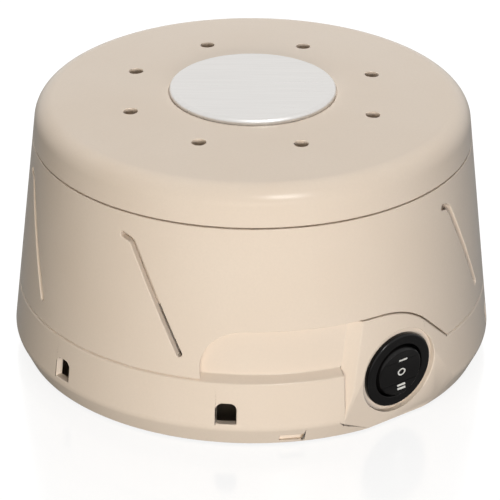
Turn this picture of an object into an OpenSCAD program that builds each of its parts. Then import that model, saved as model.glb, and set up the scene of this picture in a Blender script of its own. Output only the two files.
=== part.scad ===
/* [Body] */
// Widest radius of the round body
max_r = 73; // [71:0.5:78]
// How far the side leans in, in degrees from upright
side_taper = 6.2; // [5:0.1:7]
// Height of the top at its middle, without the badge
body_h = 82.5; // [81:0.5:90]
// Radius of curvature of the domed top
crown_r = 920; // [700:10:1500]
// Radius of the shoulder between the side and the top
shoulder_r = 6.4; // [5.4:0.2:8]
// Radius of the rounded edge at the widest line
edge_r = 4; // [3.6:0.1:5]
// Height of the widest line
edge_z = 7.5; // [7:0.1:8]
// How far the foot of the side leans in below the widest line, in degrees from upright
foot_lean = 26.5; // [20:0.5:28]
// Height of the bottom rim above the table
rim_z = 0.5; // [0.4:0.1:1]
// Thickness of the outer mouldings
wall_t = 2.4; // [2:0.1:2.8]
// Thickness of the inner walls
inner_t = 2; // [1.6:0.1:2.4]
// Clearance between shells that turn on each other
turn_gap = 0.35; // [0.3:0.05:0.5]
// Clearance between pieces that are fixed to each other
fit_gap = 0.1; // [0.05:0.05:0.15]

/* [Seams] */
// Height of the seam between the band and the collar
collar_seam_z = 21.2; // [20.4:0.2:22]
// How far below the top the seam between the collar and the cap lies
cap_h = 13.8; // [12.8:0.2:14.8]
// Width of both seams
seam_gap = 0.4; // [0.3:0.05:0.5]
// How far the ledge under the collar rises to the inner wall
ledge_rise = 1.8; // [1.4:0.1:2.2]
// Height at which the acoustic housing stands on the base shell
join_z = 46; // [45:0.5:50]
// Depth of the housing's spigot inside the base shell
spigot_h = 3; // [2:0.5:3.5]
// Thickness of the housing's spigot
spigot_t = 1.5; // [1.2:0.1:1.8]

/* [Collar slots] */
// Azimuth of the first slot, in degrees to the right of the front
slot_az = -24.3; // [-25:0.1:-23.5]
// Width of a slot
slot_w = 1.8; // [1.4:0.1:2.2]
// Height of the slot's lower end
slot_low_z = 28.8; // [28.4:0.2:31]
// Sideways place of the slot's lower end
slot_low_u = 8.7; // [8:0.1:9.5]
// How far below the cap's seam the slot starts to bend
slot_bend_drop = 9.3; // [8.1:0.2:11.7]
// Sideways place at which the slot starts to bend
slot_bend_u = -7; // [-7.6:0.1:-6]
// Radius of the bend at the slot's upper end
slot_bend_r = 3.5; // [2.6:0.1:4.5]
// Angle through which the slot bends
slot_bend_angle = 46; // [30:1:60]
// Length of the straight tail after the bend
slot_tail = 1.7; // [1:0.1:2.5]
// Width of the port behind a slot
port_w = 3.4; // [2.8:0.1:4]
// Height of the port's upper end
port_top_z = 41; // [39:0.5:42]

/* [Collar cut-out] */
// Azimuth of the middle of the cut-out
arch_az = 20.25; // [19.5:0.25:21]
// Half the width of the cut-out at its left end
arch_left = 38; // [37:0.5:38]
// Radius of the upper left corner
arch_left_r = 12.2; // [11:0.2:13]
// Height of the top of the cut-out
arch_top_z = 37.2; // [36.6:0.2:38]
// Sideways place at which the top starts to fall on the right
arch_right_u = 15; // [14:0.5:16]
// Radius of the upper right corner
arch_right_r = 24; // [23:0.5:25]
// Slope of the straight stretch below the upper right corner, in degrees
arch_right_fall = 45; // [42:1:48]
// Clearance round the switch pod
arch_gap = 0.45; // [0.35:0.05:0.6]

/* [Cap] */
// Number of holes in the cap
hole_count = 8; // [6:1:10]
// Radius of the ring of holes
hole_ring_r = 38.9; // [36:0.5:42]
// Diameter of a hole
hole_d = 4.2; // [3.4:0.2:5]
// Azimuth of the first hole
hole_az = 21.4; // [20:0.2:23]
// Diameter of the port under a hole
top_port_d = 5.2; // [4.8:0.2:6]
// Diameter of the badge
badge_d = 50.2; // [46:0.2:54]
// Thickness of the badge
badge_t = 1.4; // [1.2:0.1:1.6]
// Height of the badge above its seat's rim
badge_proud = 0.7; // [0.4:0.1:0.9]
// Radius of the badge's rounded edge
badge_edge_r = 0.9; // [0.5:0.1:1]
// Gap round the badge
badge_gap = 0.25; // [0.15:0.05:0.35]
// Height of the seat's rim above the middle of the cap
badge_rim_h = 0.8; // [0.6:0.1:1.2]
// Width of the seat's rim round the badge
badge_rim_w = 1.2; // [0.8:0.1:1.6]
// Width of the slope round the seat's rim
badge_slope_w = 2.5; // [2:0.1:4]
// Radius of the cap screw's shoulder
pivot_r = 3; // [2.6:0.1:3.4]
// Running clearance of the cap on the shoulder
pivot_gap = 0.06; // [0.04:0.01:0.08]
// Radius of the cap screw's head
pivot_head_r = 5; // [4.6:0.1:5.4]
// Radius of the hub under the cap
hub_r = 8.5; // [8:0.1:9]
// How far the hub reaches below the cap
hub_drop = 2.6; // [2.2:0.1:3]
// Radius of the stop peg under the cap
peg_r = 1.5; // [1.2:0.1:1.8]
// How far in from the widest radius the stop peg runs
peg_inset = 22; // [20:0.5:23]
// How far the cap turns, in degrees
cap_turn = 22.5; // [18:0.5:24]

/* [Base] */
// Azimuth of the first window
window_az = -5.7; // [-6.2:0.1:-5.2]
// Width of a window
window_w = 6; // [5:0.2:7]
// Height of a window's sill
window_low_z = 8.4; // [8:0.2:9.2]
// Height of a window's top
window_top_z = 14.8; // [14:0.2:16]
// Radius of a window's upper corners
window_r = 2; // [1.4:0.2:2.4]
// Azimuth of the opening slot at the bottom edge
notch_az = 9.7; // [8.1:0.2:11.1]
// Width of the opening slot
notch_w = 7.3; // [6:0.1:8]
// Height of the opening slot
notch_h = 2.2; // [1.8:0.1:2.4]
// Thickness of the base plate
plate_t = 2.4; // [2.2:0.1:3]
// Width of the rim outside the base plate
rim_w = 2.6; // [2.2:0.1:3]
// How far in from the widest radius the base screws stand
boss_inset = 10; // [9.5:0.25:10.5]
// Radius of the base screw bosses
boss_r = 4; // [3.6:0.1:4.4]
// Azimuth of the first base screw
boss_az = -28.2; // [-30:0.2:-27]
// Radius of the screws in plastic
screw_r = 1.5; // [1.4:0.05:1.6]
// Radius of the small screws' heads
screw_head_r = 2.8; // [2.6:0.1:3]
// Height of the small screws' heads
screw_head_h = 1.2; // [1:0.1:1.4]
// Radius of a foot
foot_r = 6; // [5:0.5:7]
// Thickness of a foot
foot_t = 2.2; // [2:0.1:2.6]
// How far in from the widest radius the feet stand
foot_inset = 16; // [15:0.5:19]
// Azimuth of the first foot
foot_az = 16.8; // [14:0.2:20]
// Radius of the power cord's hole through its grommet
cord_r = 3.5; // [3:0.1:3.8]
// Azimuth of the cord inlet
cord_az = 174.4; // [174:0.2:175]
// Height of the cord inlet
cord_z = 12; // [11:0.5:13]
// Rubber round the cord's hole
grommet_t = 1.8; // [1.6:0.1:2]

/* [Switch] */
// Azimuth of the switch
pod_az = 38.4; // [38:0.1:39]
// How far the switch's flat leans out at its top, in degrees
pod_lean = 4.5; // [3:0.1:5]
// How far in from the widest radius the switch's flat lies
pod_inset = 2.7; // [2.2:0.1:3]
// Height of the switch's middle
switch_z = 16.9; // [16.5:0.1:17.3]
// Azimuth of the pod's left edge
flank_az = 22.4; // [22:0.1:23]
// Slope of the pod's left flank, in degrees
flank_slope = 33; // [30:1:36]
// How far the flank's foot tilts towards the surface, in degrees
flank_tilt = 7.1; // [6.5:0.1:7.5]
// Radius of the round recess
recess_r = 13.6; // [13.4:0.1:14]
// Depth of the round recess
recess_d = 1.8; // [1.5:0.1:2]
// Thickness of the panel behind the recess
panel_t = 2.2; // [2:0.1:2.6]
// Radius of the switch's rim
bezel_r = 12; // [11.6:0.1:12.4]
// Height of the switch's rim above its seat
bezel_h = 1.7; // [1.4:0.1:2]
// Radius of the switch's barrel
barrel_r = 9.9; // [9.6:0.1:10.2]
// Length of the switch's barrel behind its seat
barrel_l = 19; // [17:0.5:20]
// Radius of the ball that the rocker is cut from
rocker_r = 8.4; // [8:0.1:8.6]
// Gap round the rocker
rocker_gap = 0.3; // [0.25:0.05:0.4]
// Depth of the rocker's pivot behind the flat
pivot_depth = 2.6; // [2.4:0.1:3]

/* [Motor] */
// Height of the stator's underside
stator_z = 20; // [19:0.5:21]
// Thickness of the stator's stack
stator_h = 16; // [14:0.5:18]
// Width of the stator
stator_w = 48; // [46:0.5:50]
// Distance from the rotor's axis to the stator's free end
stator_front = 20; // [19:0.5:21]
// Length of the window in the stator
stator_window_l = 14; // [13:0.5:15]
// Width of the window in the stator
stator_window_w = 28; // [27:0.5:29]
// Width of the stator's cross leg
stator_leg = 10; // [9:0.5:11]
// Radius of the rotor
rotor_r = 12.6; // [12:0.1:13]
// Air gap round the rotor
air_gap = 0.4; // [0.35:0.05:0.6]
// Radius of the shaft
shaft_r = 2; // [1.8:0.1:2.2]
// Running clearance of the shaft in its bushes
bush_gap = 0.03; // [0.02:0.01:0.05]
// Wall of a bush
bush_t = 2.5; // [2.2:0.1:3]
// Length of a bush
bush_l = 6; // [5:0.5:7]
// Thickness of the bearing brackets
bracket_t = 2; // [1.6:0.1:2.4]
// Height of the bracket posts on both sides of the stator
post_h = 6; // [5.5:0.25:6.5]
// Distance of the through bolts from the axis
bolt_x = 19; // [18.5:0.1:19.5]
// Radius of the through bolts
bolt_r = 1.9; // [1.7:0.1:2.1]
// Radius at which the motor's rubber mounts stand
mount_ring_r = 31; // [30:0.5:33]
// Radius of the rubber mounts
mount_r = 5; // [4.6:0.2:5.4]
// Thickness of the winding round the bobbin
winding_t = 5.6; // [5:0.2:6]

/* [Fan] */
// Radius of the fan
fan_r = 44; // [40:0.5:46]
// Clearance between the shaft's end and the boss of the cap screw
fan_room = 3.85; // [3:0.05:5]
// Number of blades
blade_count = 7; // [5:1:9]
// How unevenly the blades are spaced, in degrees
blade_shift = 7; // [3:1:10]
// Thickness of the fan's disc and blades
blade_t = 1.5; // [1.2:0.1:1.8]
// Radius of a blade's curve
blade_curve_r = 30; // [28:1:36]
// Radius of the fan's hub
fan_hub_r = 8; // [7:0.5:9]

/* [Wiring] */
// Radius of an internal lead
lead_r = 0.9; // [0.7:0.1:1]

/* [Hidden] */
round_fn = 144;
arc_steps = 8;
shell_color = [0.89, 0.82, 0.72];
dark_color = [0.05, 0.05, 0.05];
steel_color = [0.72, 0.73, 0.75];
cut_far = 90;
cut_over = 1;
// Gap left between faces that bear on each other
touch = 0.02;
// Places round the collar and the band, and the ones left out at the cut-out, the switch and the cord
side_places = 8;
no_slot_at = [7];
no_window_at = [4, 7];

// The side and the top are one outline: a straight side that leans in, a round shoulder and a dome.
function side_r(z, inset = 0) =
  max_r - edge_r + (edge_r - inset - (z - edge_z) * sin(side_taper)) / cos(side_taper);
function crown_z(r, inset = 0) = body_h - crown_r + sqrt(pow(crown_r - inset, 2) - r * r);
first_shoulder_z = crown_z(side_r(body_h - shoulder_r, shoulder_r), shoulder_r);
shoulder_z = crown_z(side_r(first_shoulder_z, shoulder_r), shoulder_r);
shoulder_x = side_r(shoulder_z, shoulder_r);
shoulder_end = atan2(shoulder_z - body_h + crown_r, shoulder_x);
function reversed(list) = [for (i = [len(list) - 1 : -1 : 0]) list[i]];
function arc(cx, cy, r, from, to, steps = arc_steps) =
  [for (i = [0 : steps]) let (a = from + (to - from) * i / steps) [cx + r * cos(a), cy + r * sin(a)]];
// Half outline from height low_z on the side up to the middle of the top, lying inset below the surface
function dome_side(inset, low_z) = concat(
  [[side_r(low_z, inset), low_z]],
  arc(shoulder_x, shoulder_z, shoulder_r - inset, side_taper, shoulder_end),
  [for (i = [arc_steps - 1 : -1 : 0])
    let (r = (shoulder_x + (shoulder_r - inset) * cos(shoulder_end)) * i / arc_steps) [r, crown_z(r, inset)]]
);
function rounded_rect(w, h, r) = concat(
  arc(w / 2 - r, h / 2 - r, r, 0, 90, 5), arc(r - w / 2, h / 2 - r, r, 90, 180, 5),
  arc(r - w / 2, r - h / 2, r, 180, 270, 5), arc(w / 2 - r, r - h / 2, r, 270, 360, 5)
);

// Places that follow the widest radius and the height
cap_seam_z = body_h - cap_h;
slot_bend_z = cap_seam_z - slot_bend_drop;
peg_ring_r = max_r - peg_inset;
boss_ring_r = max_r - boss_inset;
foot_ring_r = max_r - foot_inset;
pod_face_r = max_r - pod_inset;

// Insets of the inner wall's two faces below the outer surface
wall_out = wall_t + turn_gap;
wall_in = wall_out + inner_t;
ledge_z = collar_seam_z - seam_gap / 2;
crease_z = ledge_z + ledge_rise;
collar_low_z = collar_seam_z + seam_gap / 2;
collar_top_z = cap_seam_z - seam_gap / 2;
cap_low_z = cap_seam_z + seam_gap / 2;

// Base plate, bosses and feet
foot_x = max_r - edge_r + edge_r * cos(foot_lean);
foot_y = edge_z - edge_r * sin(foot_lean);
function foot_side_r(z) = foot_x - (foot_y - z) * tan(foot_lean);
rim_r = foot_side_r(rim_z);
plate_r = rim_r - rim_w - fit_gap;
plate_z = rim_z + screw_head_h / 3;
plate_top = plate_z + plate_t;
foot_seat = foot_t - plate_z;
foot_bevel = 0.5;

// The opening slot above the rim is blind
notch_low_z = rim_z + 1.1;
notch_from_r = rim_r - 0.6;
boss_top = crease_z + 4;

// Screws: holes in plastic are cut a little wider than the screws that fill them
thread_r = screw_r - touch;
shank_r = screw_r - 2 * touch;
screw_clear_r = screw_r + fit_gap;
base_screw_l = 12;
drive_w = 0.7;

// Cord inlet at the back: a neck hole with a seat for the grommet's flange
cord_neck_r = cord_r + grommet_t;
cord_seat_r = cord_neck_r + 1.2;
cord_seat_inset = 1.2;
cord_panel_t = 3;
cord_pad_r = cord_seat_r + 1;
cord_pad_t = cord_panel_t + 0.4;
cord_pad_inset = cord_seat_inset + cord_panel_t - cord_pad_t;
cord_flange_out_t = 0.6;
cord_flange_in_t = 1.5;

// Cap screw and hub, from the badge down
badge_top = body_h + badge_rim_h + badge_proud;
badge_seat = badge_top - badge_t;
badge_rim_r = badge_d / 2 + badge_rim_w;
badge_slope_r = badge_rim_r + badge_slope_w;
washer_t = 0.4;
pivot_head_h = 1.1;
pocket_z = badge_seat - washer_t - pivot_head_h - 0.2;
pocket_r = pivot_head_r + 1.4;
hub_z = crown_z(0, wall_t) - hub_drop;
well_z = hub_z - turn_gap;
well_r = hub_r + 1;
well_wall_r = well_r + inner_t;
screw_boss_r = 5;
screw_boss_z = well_z - 8;
pivot_thread_r = screw_r + 0.5;
washer_z = pocket_z + 0.05;
peg_low_z = crown_z(peg_ring_r, wall_in) - 0.3;
peg_slot_r = peg_r + turn_gap;
peg_az = 90 - hole_az;

// Joint of the housing to the base shell
lug_ring_r = side_r(join_z, wall_in) - 4.4;
spigot_r = side_r(join_z, wall_in) - fit_gap;
spigot_root_h = 2 * spigot_h;
lug_r = 3.8;
lug_top_z = join_z - spigot_h - 0.8;
lug_h = 5;
lug_az = 2.5;
lug_screw_l = 12;
lug_web_w = 3;
lug_web_l = 5.5;
lug_boss_h = lug_screw_l + 2 - lug_h;
lug_hole_h = lug_screw_l + cut_over - lug_h;

// Pod and switch; heights along the switch's own axis are counted from the flat
seat_y = -recess_d;
panel_y = seat_y - panel_t;
barrel_y = seat_y - barrel_l;
hole_clear_r = barrel_r + 0.2;
pod_back_r = pod_face_r + panel_y - recess_r * sin(pod_lean) - 0.2;
rocker_well_r = rocker_r + rocker_gap;
rocker_mid = 0.4;
rocker_dish_r = 30;
rocker_back = 3.4;
pivot_pin_r = 1;
pivot_pin_l = 0.8;
pin_gap = 0.05;
pin_end = rocker_well_r + pivot_pin_l - 2 * pin_gap;
bezel_bevel = 0.6;
snap_w = 1.9;
pod_cut_d = 12;
flank_cut_d = 12;

// The switch's tabs
terminal_w = 4.8;
terminal_l = 8;
terminal_t = 0.8;
terminal_pitch = 5.2;

// Motor stack
stator_top = stator_z + stator_h;
stator_mid = stator_z + stator_h / 2;
lower_plate_z = stator_z - post_h - bracket_t;
upper_plate_z = stator_top + post_h;
mount_low = 2.5;
boss_top_z = lower_plate_z - mount_low;
shaft_low_z = lower_plate_z - 2.8;
thrust_t = 0.7;
thrust_z = shaft_low_z + 0.2 - touch - thrust_t;
fan_low_z = upper_plate_z + bracket_t + 4 + seam_gap * 2;
clip_t = 1.5;
clip_groove_h = 1;
shaft_top_z = screw_boss_z - fan_room;
fan_top_z = shaft_top_z - clip_groove_h - clip_t;
fan_hub_h = fan_top_z - fan_low_z;
blade_h = fan_hub_h - blade_t - 0.5;
end_ring_h = 1.5;
blade_root_az = 62;
blade_start_az = 28;
stator_l = 2 * stator_front + stator_window_l + stator_leg;
leg_mid_y = stator_front + stator_window_l + stator_leg / 2;
bush_r = shaft_r + bush_gap + bush_t;
bush_seat_r = bush_r + touch;
bracket_boss_r = bush_r + 3;
bracket_arm_w = 2 * mount_r - 1;
bobbin_t = 1.2;
shade_x = 12;
shade_y = 12.6;
shade_t = 2.4;
shade_l = stator_front + fit_gap - shade_y - shade_t / 2;
coil_l = stator_window_w - 2 * fit_gap;
bolt_post_r = bolt_r + 2;
bush_end_z = upper_plate_z + bracket_t + 4;
bolt_nut_h = 2.6;
bolt_head_h = 2;
mount_hole_r = mount_r - 1.6;
mount_top = 2 * mount_low + bracket_t - 0.5;
mount_screw_r = 1.9;

// Terminal block and capacitor on the base plate
block_x = 24;
block_y = max_r - 29;
block_l = 20;
block_w = 12;
block_h = 11;
block_well_r = 2.2;
block_well_d = 4;
cap_box_x = 37 - max_r;
cap_box_y = -28;
cap_box_l = 26;
cap_box_w = 11;
cap_box_h = 16;

module at_az(az) {
  rotate([0, 0, az]) children();
}

module ring_of(count, first_az, skip = []) {
  for (i = [0 : count - 1]) {
    if (len(search(i, skip)) == 0) at_az(first_az - i * 360 / count) children();
  }
}

// A prism that runs outwards through the side at an azimuth; its outline is drawn as seen from outside
module through_side(az, from_r = 55) {
  at_az(az) translate([0, -from_r, 0]) rotate([90, 0, 0]) linear_extrude(cut_far - from_r) children();
}

module at_switch() {
  at_az(pod_az) translate([0, -pod_face_r, switch_z]) rotate([90 + pod_lean, 0, 0]) children();
}

module turned(points) {
  rotate_extrude($fn = round_fn) polygon(points);
}

// Outline of a slot: a straight run that leans over and bends to the left at its upper end
slot_lean = atan2(slot_bend_z - slot_low_z, slot_bend_u - slot_low_u);
bend_x = slot_bend_u - slot_bend_r * sin(slot_lean);
bend_y = slot_bend_z + slot_bend_r * cos(slot_lean);
tail_way = slot_lean + slot_bend_angle;
tail_x = bend_x + slot_bend_r * sin(tail_way) + slot_tail * cos(tail_way);
tail_y = bend_y - slot_bend_r * cos(tail_way) + slot_tail * sin(tail_way);
function slot_outline(half) = concat(
  arc(slot_low_u, slot_low_z, half, slot_lean + 90, slot_lean + 270, 6),
  arc(bend_x, bend_y, slot_bend_r + half, slot_lean - 90, tail_way - 90, 5),
  arc(tail_x, tail_y, half, tail_way - 90, tail_way + 90, 6),
  arc(bend_x, bend_y, slot_bend_r - half, tail_way - 90, slot_lean - 90, 5)
);
port_top_u = slot_low_u + (port_top_z - slot_low_z) / tan(slot_lean);
function port_outline(half) = concat(
  arc(slot_low_u, slot_low_z, half, slot_lean + 90, slot_lean + 270, 6),
  arc(port_top_u, port_top_z, half, slot_lean - 90, slot_lean + 90, 6)
);

// Outline of the collar's cut-out, or of the pod that fills its right part when gap is given
arch_low_z = collar_seam_z - 2;
arch_right_z = arch_top_z - arch_right_r;
function arch_right_low_u(gap) =
  let (from = 90 - arch_right_fall, r = arch_right_r - gap)
  arch_right_u + r * cos(from) + (arch_right_z + r * sin(from) - arch_low_z) / tan(arch_right_fall);
function arch_outline(gap = 0) = concat(
  [[arch_right_low_u(gap), -5], [arch_right_low_u(gap), arch_low_z]],
  arc(arch_right_u, arch_right_z, arch_right_r - gap, 90 - arch_right_fall, 90),
  arc(arch_left_r - arch_left, arch_top_z - arch_left_r, arch_left_r - gap, 90, 180, 8),
  [[gap - arch_left, -5]]
);
window_outline = concat(
  [[window_w / 2, window_low_z]],
  arc(window_w / 2 - window_r, window_top_z - window_r, window_r, 0, 90, 4),
  arc(window_r - window_w / 2, window_top_z - window_r, window_r, 90, 180, 4),
  [[-window_w / 2, window_low_z]]
);

// Band, ledge and recessed wall of the base in one turned section
band_section = concat(
  [[rim_r, rim_z]],
  arc(max_r - edge_r, edge_z, edge_r, -foot_lean, side_taper),
  [
    [side_r(ledge_z), ledge_z],
    [side_r(crease_z, wall_out), crease_z],
    [side_r(join_z, wall_out), join_z],
    [side_r(join_z, wall_in), join_z],
    [side_r(ledge_z, wall_in), ledge_z],
    [side_r(ledge_z - inner_t, wall_t), ledge_z - inner_t],
    [side_r(edge_z, wall_t), edge_z],
    [rim_r - rim_w, plate_top + 0.4],
    [rim_r - rim_w, rim_z]
  ]
);

// The block that carries the switch: it is flush with the band and fills the right part of the cut-out
pod_low_z = plate_top + 0.6;
module pod_block() {
  intersection() {
    turned(concat(
      [[pod_back_r, pod_low_z], [foot_side_r(pod_low_z), pod_low_z]],
      arc(max_r - edge_r, edge_z, edge_r, -foot_lean, side_taper),
      [[side_r(arch_top_z), arch_top_z], [pod_back_r, arch_top_z]]
    ));
    through_side(arch_az) polygon(arch_outline(arch_gap));
    at_az(flank_az) translate([0, -cut_far, 0]) cube([cut_far, cut_far, arch_top_z]);
  }
}

// The wedge cut from the left of the pod: it starts at the ledge's crease and stops at the recessed wall
module flank_cut() {
  difference() {
    at_az(flank_az) translate([0, -side_r(crease_z, wall_out), crease_z])
      rotate([-side_taper - flank_tilt, 0, 0])
        translate([0, 0, -crease_z])
          linear_extrude(arch_top_z + cut_over)
            polygon([[0, 0], [0, -flank_cut_d], [flank_cut_d / tan(flank_slope), -flank_cut_d]]);
    turned([
      [0, -cut_over], [side_r(-cut_over, wall_out), -cut_over],
      [side_r(arch_top_z + 3 * cut_over, wall_out), arch_top_z + 3 * cut_over], [0, arch_top_z + 3 * cut_over]
    ]);
  }
}

module base_boss(z_low, z_high, r) {
  ring_of(4, boss_az) translate([0, -boss_ring_r, z_low]) cylinder(h = z_high - z_low, r = r, $fn = 48);
}

module base_shell() {
  color(shell_color) difference() {
    union() {
      turned(band_section);
      pod_block();
      base_boss(plate_top, boss_top, boss_r);
      ring_of(4, lug_az) translate([0, -lug_ring_r, lug_top_z - lug_h])
        cylinder(h = lug_h, r = lug_r, $fn = 48);
      ring_of(4, lug_az) translate([-lug_web_w / 2, -lug_ring_r - lug_web_l, lug_top_z - lug_h])
        cube([lug_web_w, lug_web_l, lug_h]);
      at_az(cord_az) translate([-cord_pad_r, -side_r(cord_z, cord_pad_inset), cord_z - cord_pad_r])
        cube([2 * cord_pad_r, cord_pad_t, 2 * cord_pad_r]);
    }
    flank_cut();
    at_switch() translate([-cut_far / 2, -cut_far / 2, 0]) cube([cut_far, cut_far, pod_cut_d]);
    at_switch() translate([0, 0, seat_y]) cylinder(h = pod_cut_d, r = recess_r, $fn = 96);
    at_switch() translate([0, 0, panel_y - pod_cut_d]) cylinder(h = 2 * pod_cut_d, r = hole_clear_r, $fn = 96);
    at_switch() translate([0, 0, panel_y - 2 * pod_cut_d]) cylinder(h = 2 * pod_cut_d, r = recess_r, $fn = 96);
    ring_of(side_places, window_az, no_window_at) through_side(0) polygon(window_outline);
    ring_of(side_places, slot_az, no_slot_at) through_side(0) polygon(port_outline(port_w / 2));
    through_side(notch_az, notch_from_r)
      translate([-notch_w / 2, notch_low_z]) square([notch_w, notch_h]);
    base_boss(plate_top - cut_over, crease_z, thread_r);
    ring_of(4, lug_az) translate([0, -lug_ring_r, lug_top_z - lug_h - cut_over])
      cylinder(h = lug_h + 2 * cut_over, r = screw_clear_r, $fn = 48);
    at_az(cord_az) translate([0, 0, cord_z]) rotate([90, 0, 0])
      cylinder(h = cut_far, r = cord_neck_r, $fn = 64);
    at_az(cord_az) translate([0, -side_r(cord_z, cord_seat_inset), cord_z]) rotate([90, 0, 0])
      cylinder(h = cut_far, r = cord_seat_r, $fn = 64);
  }
}

// Rubber grommet: a neck in the wall between an outer and an inner flange, with the cord's bore
module cord_grommet() {
  flange_r = cord_seat_r - fit_gap;
  color(dark_color) at_az(cord_az) translate([0, -side_r(cord_z, cord_seat_inset), cord_z]) rotate([90, 0, 0])
    difference() {
      union() {
        translate([0, 0, -cord_panel_t - cord_flange_in_t])
          cylinder(h = cord_panel_t + cord_flange_in_t + touch, r = cord_neck_r - fit_gap / 2, $fn = 64);
        translate([0, 0, touch]) cylinder(h = cord_flange_out_t, r = flange_r, $fn = 64);
        translate([0, 0, -cord_panel_t - cord_flange_in_t - touch])
          cylinder(h = cord_flange_in_t, r = flange_r, $fn = 64);
      }
      translate([0, 0, -3 * cord_panel_t]) cylinder(h = 6 * cord_panel_t, r = cord_r, $fn = 64);
    }
}

// Base plate with its motor bosses, foot pockets and screw holes
module base_plate() {
  color(shell_color) difference() {
    union() {
      translate([0, 0, plate_z]) cylinder(h = plate_t, r = plate_r, $fn = round_fn);
      ring_of(3, 0) translate([0, -mount_ring_r, plate_z])
        cylinder(h = boss_top_z - plate_z, r = mount_r, $fn = 48);
    }
    ring_of(4, foot_az) translate([0, -foot_ring_r, plate_z - cut_over])
      cylinder(h = cut_over + foot_seat, r = foot_r + fit_gap, $fn = 64);
    ring_of(4, boss_az) translate([0, -boss_ring_r, plate_z - cut_over])
      cylinder(h = plate_t + 2 * cut_over, r = screw_clear_r, $fn = 48);
    ring_of(4, boss_az) translate([0, -boss_ring_r, plate_z - cut_over])
      cylinder(h = cut_over + screw_head_h, r = screw_head_r + fit_gap, $fn = 48);
    ring_of(3, 0) translate([0, -mount_ring_r, plate_top])
      cylinder(h = boss_top_z, r = mount_screw_r - touch, $fn = 48);
  }
}

module feet() {
  color(dark_color) ring_of(4, foot_az) translate([0, -foot_ring_r, 0])
    turned([
      [0, 0], [foot_r - foot_bevel, 0], [foot_r, foot_bevel], [foot_r, foot_t - touch], [0, foot_t - touch]
    ]);
}

// Screw with a low round head below, pointing up, its head's underside at the origin
module screw_up(r, l, head_r, head_h) {
  difference() {
    union() {
      cylinder(h = l, r = r, $fn = 32);
      translate([0, 0, -head_h]) cylinder(h = head_h, r = head_r, $fn = 40);
    }
    for (turn = [0, 90]) rotate([0, 0, turn])
      translate([-head_r * 0.6, -drive_w / 2, -head_h - cut_over])
        cube([head_r * 1.2, drive_w, cut_over + head_h / 2]);
  }
}

module base_screws() {
  color(steel_color) ring_of(4, boss_az) translate([0, -boss_ring_r, plate_z + screw_head_h])
    screw_up(shank_r, base_screw_l, screw_head_r, screw_head_h);
}

module housing_screws() {
  color(steel_color) ring_of(4, lug_az) translate([0, -lug_ring_r, lug_top_z - lug_h])
    screw_up(shank_r, lug_screw_l, screw_head_r, screw_head_h);
}

module acoustic_housing() {
  color(shell_color) difference() {
    union() {
      turned(concat(dome_side(wall_out, join_z), reversed(dome_side(wall_in, join_z))));
      translate([0, 0, join_z - spigot_h]) difference() {
        cylinder(h = spigot_h + spigot_root_h, r = spigot_r, $fn = round_fn);
        translate([0, 0, -cut_over])
          cylinder(h = spigot_h + spigot_root_h + 2 * cut_over, r = spigot_r - spigot_t, $fn = round_fn);
      }
      translate([0, 0, well_z - inner_t])
        cylinder(h = body_h - wall_out + inner_t / 2 - well_z, r = well_wall_r, $fn = 96);
      translate([0, 0, screw_boss_z]) cylinder(h = well_z - screw_boss_z, r = screw_boss_r, $fn = 64);
      ring_of(4, lug_az) translate([0, -lug_ring_r, lug_top_z])
        cylinder(h = lug_boss_h, r = lug_r, $fn = 48);
    }
    translate([0, 0, well_z]) cylinder(h = cut_far, r = well_r, $fn = 96);
    translate([0, 0, screw_boss_z - cut_over]) cylinder(h = cut_far, r = pivot_thread_r, $fn = 48);
    ring_of(hole_count, hole_az) translate([0, -hole_ring_r, join_z])
      cylinder(h = body_h, d = top_port_d, $fn = 48);
    peg_slot();
    ring_of(4, lug_az) translate([0, -lug_ring_r, lug_top_z - cut_over])
      cylinder(h = lug_hole_h, r = thread_r, $fn = 48);
  }
}

// Curved slot for the cap's stop peg, from its place at rest through the cap's turn
module peg_slot() {
  at_az(peg_az) translate([0, 0, cap_low_z]) {
    translate([0, -peg_ring_r, 0]) cylinder(h = body_h, r = peg_slot_r, $fn = 48);
    rotate([0, 0, cap_turn]) translate([0, -peg_ring_r, 0]) cylinder(h = body_h, r = peg_slot_r, $fn = 48);
    rotate([0, 0, -90]) rotate_extrude(angle = cap_turn, $fn = round_fn)
      translate([peg_ring_r - peg_slot_r, 0]) square([2 * peg_slot_r, body_h]);
  }
}

module collar() {
  color(shell_color) difference() {
    turned([
      [side_r(collar_low_z), collar_low_z],
      [side_r(collar_top_z), collar_top_z],
      [side_r(collar_top_z, wall_t), collar_top_z],
      [side_r(collar_low_z, wall_t), collar_low_z + ledge_rise * wall_t / wall_out]
    ]);
    ring_of(side_places, slot_az, no_slot_at) through_side(0) polygon(slot_outline(slot_w / 2));
    through_side(arch_az) polygon(arch_outline());
  }
}

module cap() {
  color(shell_color) difference() {
    union() {
      turned(concat(dome_side(0, cap_low_z), reversed(dome_side(wall_t, cap_low_z))));
      turned([
        [0, body_h - wall_t], [badge_slope_r, body_h - wall_t], [badge_slope_r, crown_z(badge_slope_r)],
        [badge_rim_r, body_h + badge_rim_h], [0, body_h + badge_rim_h]
      ]);
      translate([0, 0, hub_z]) cylinder(h = body_h - hub_z, r = hub_r, $fn = 96);
      at_az(peg_az) translate([0, -peg_ring_r, peg_low_z])
        cylinder(h = crown_z(peg_ring_r, wall_t / 2) - peg_low_z, r = peg_r, $fn = 48);
    }
    translate([0, 0, badge_seat]) cylinder(h = cut_far, r = badge_d / 2 + badge_gap, $fn = round_fn);
    translate([0, 0, pocket_z]) cylinder(h = cut_far, r = pocket_r, $fn = 64);
    translate([0, 0, hub_z - cut_over]) cylinder(h = cut_far, r = pivot_r + pivot_gap, $fn = 64);
    ring_of(hole_count, hole_az) translate([0, -hole_ring_r, cap_low_z])
      cylinder(h = body_h, d = hole_d, $fn = 48);
  }
}

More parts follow.
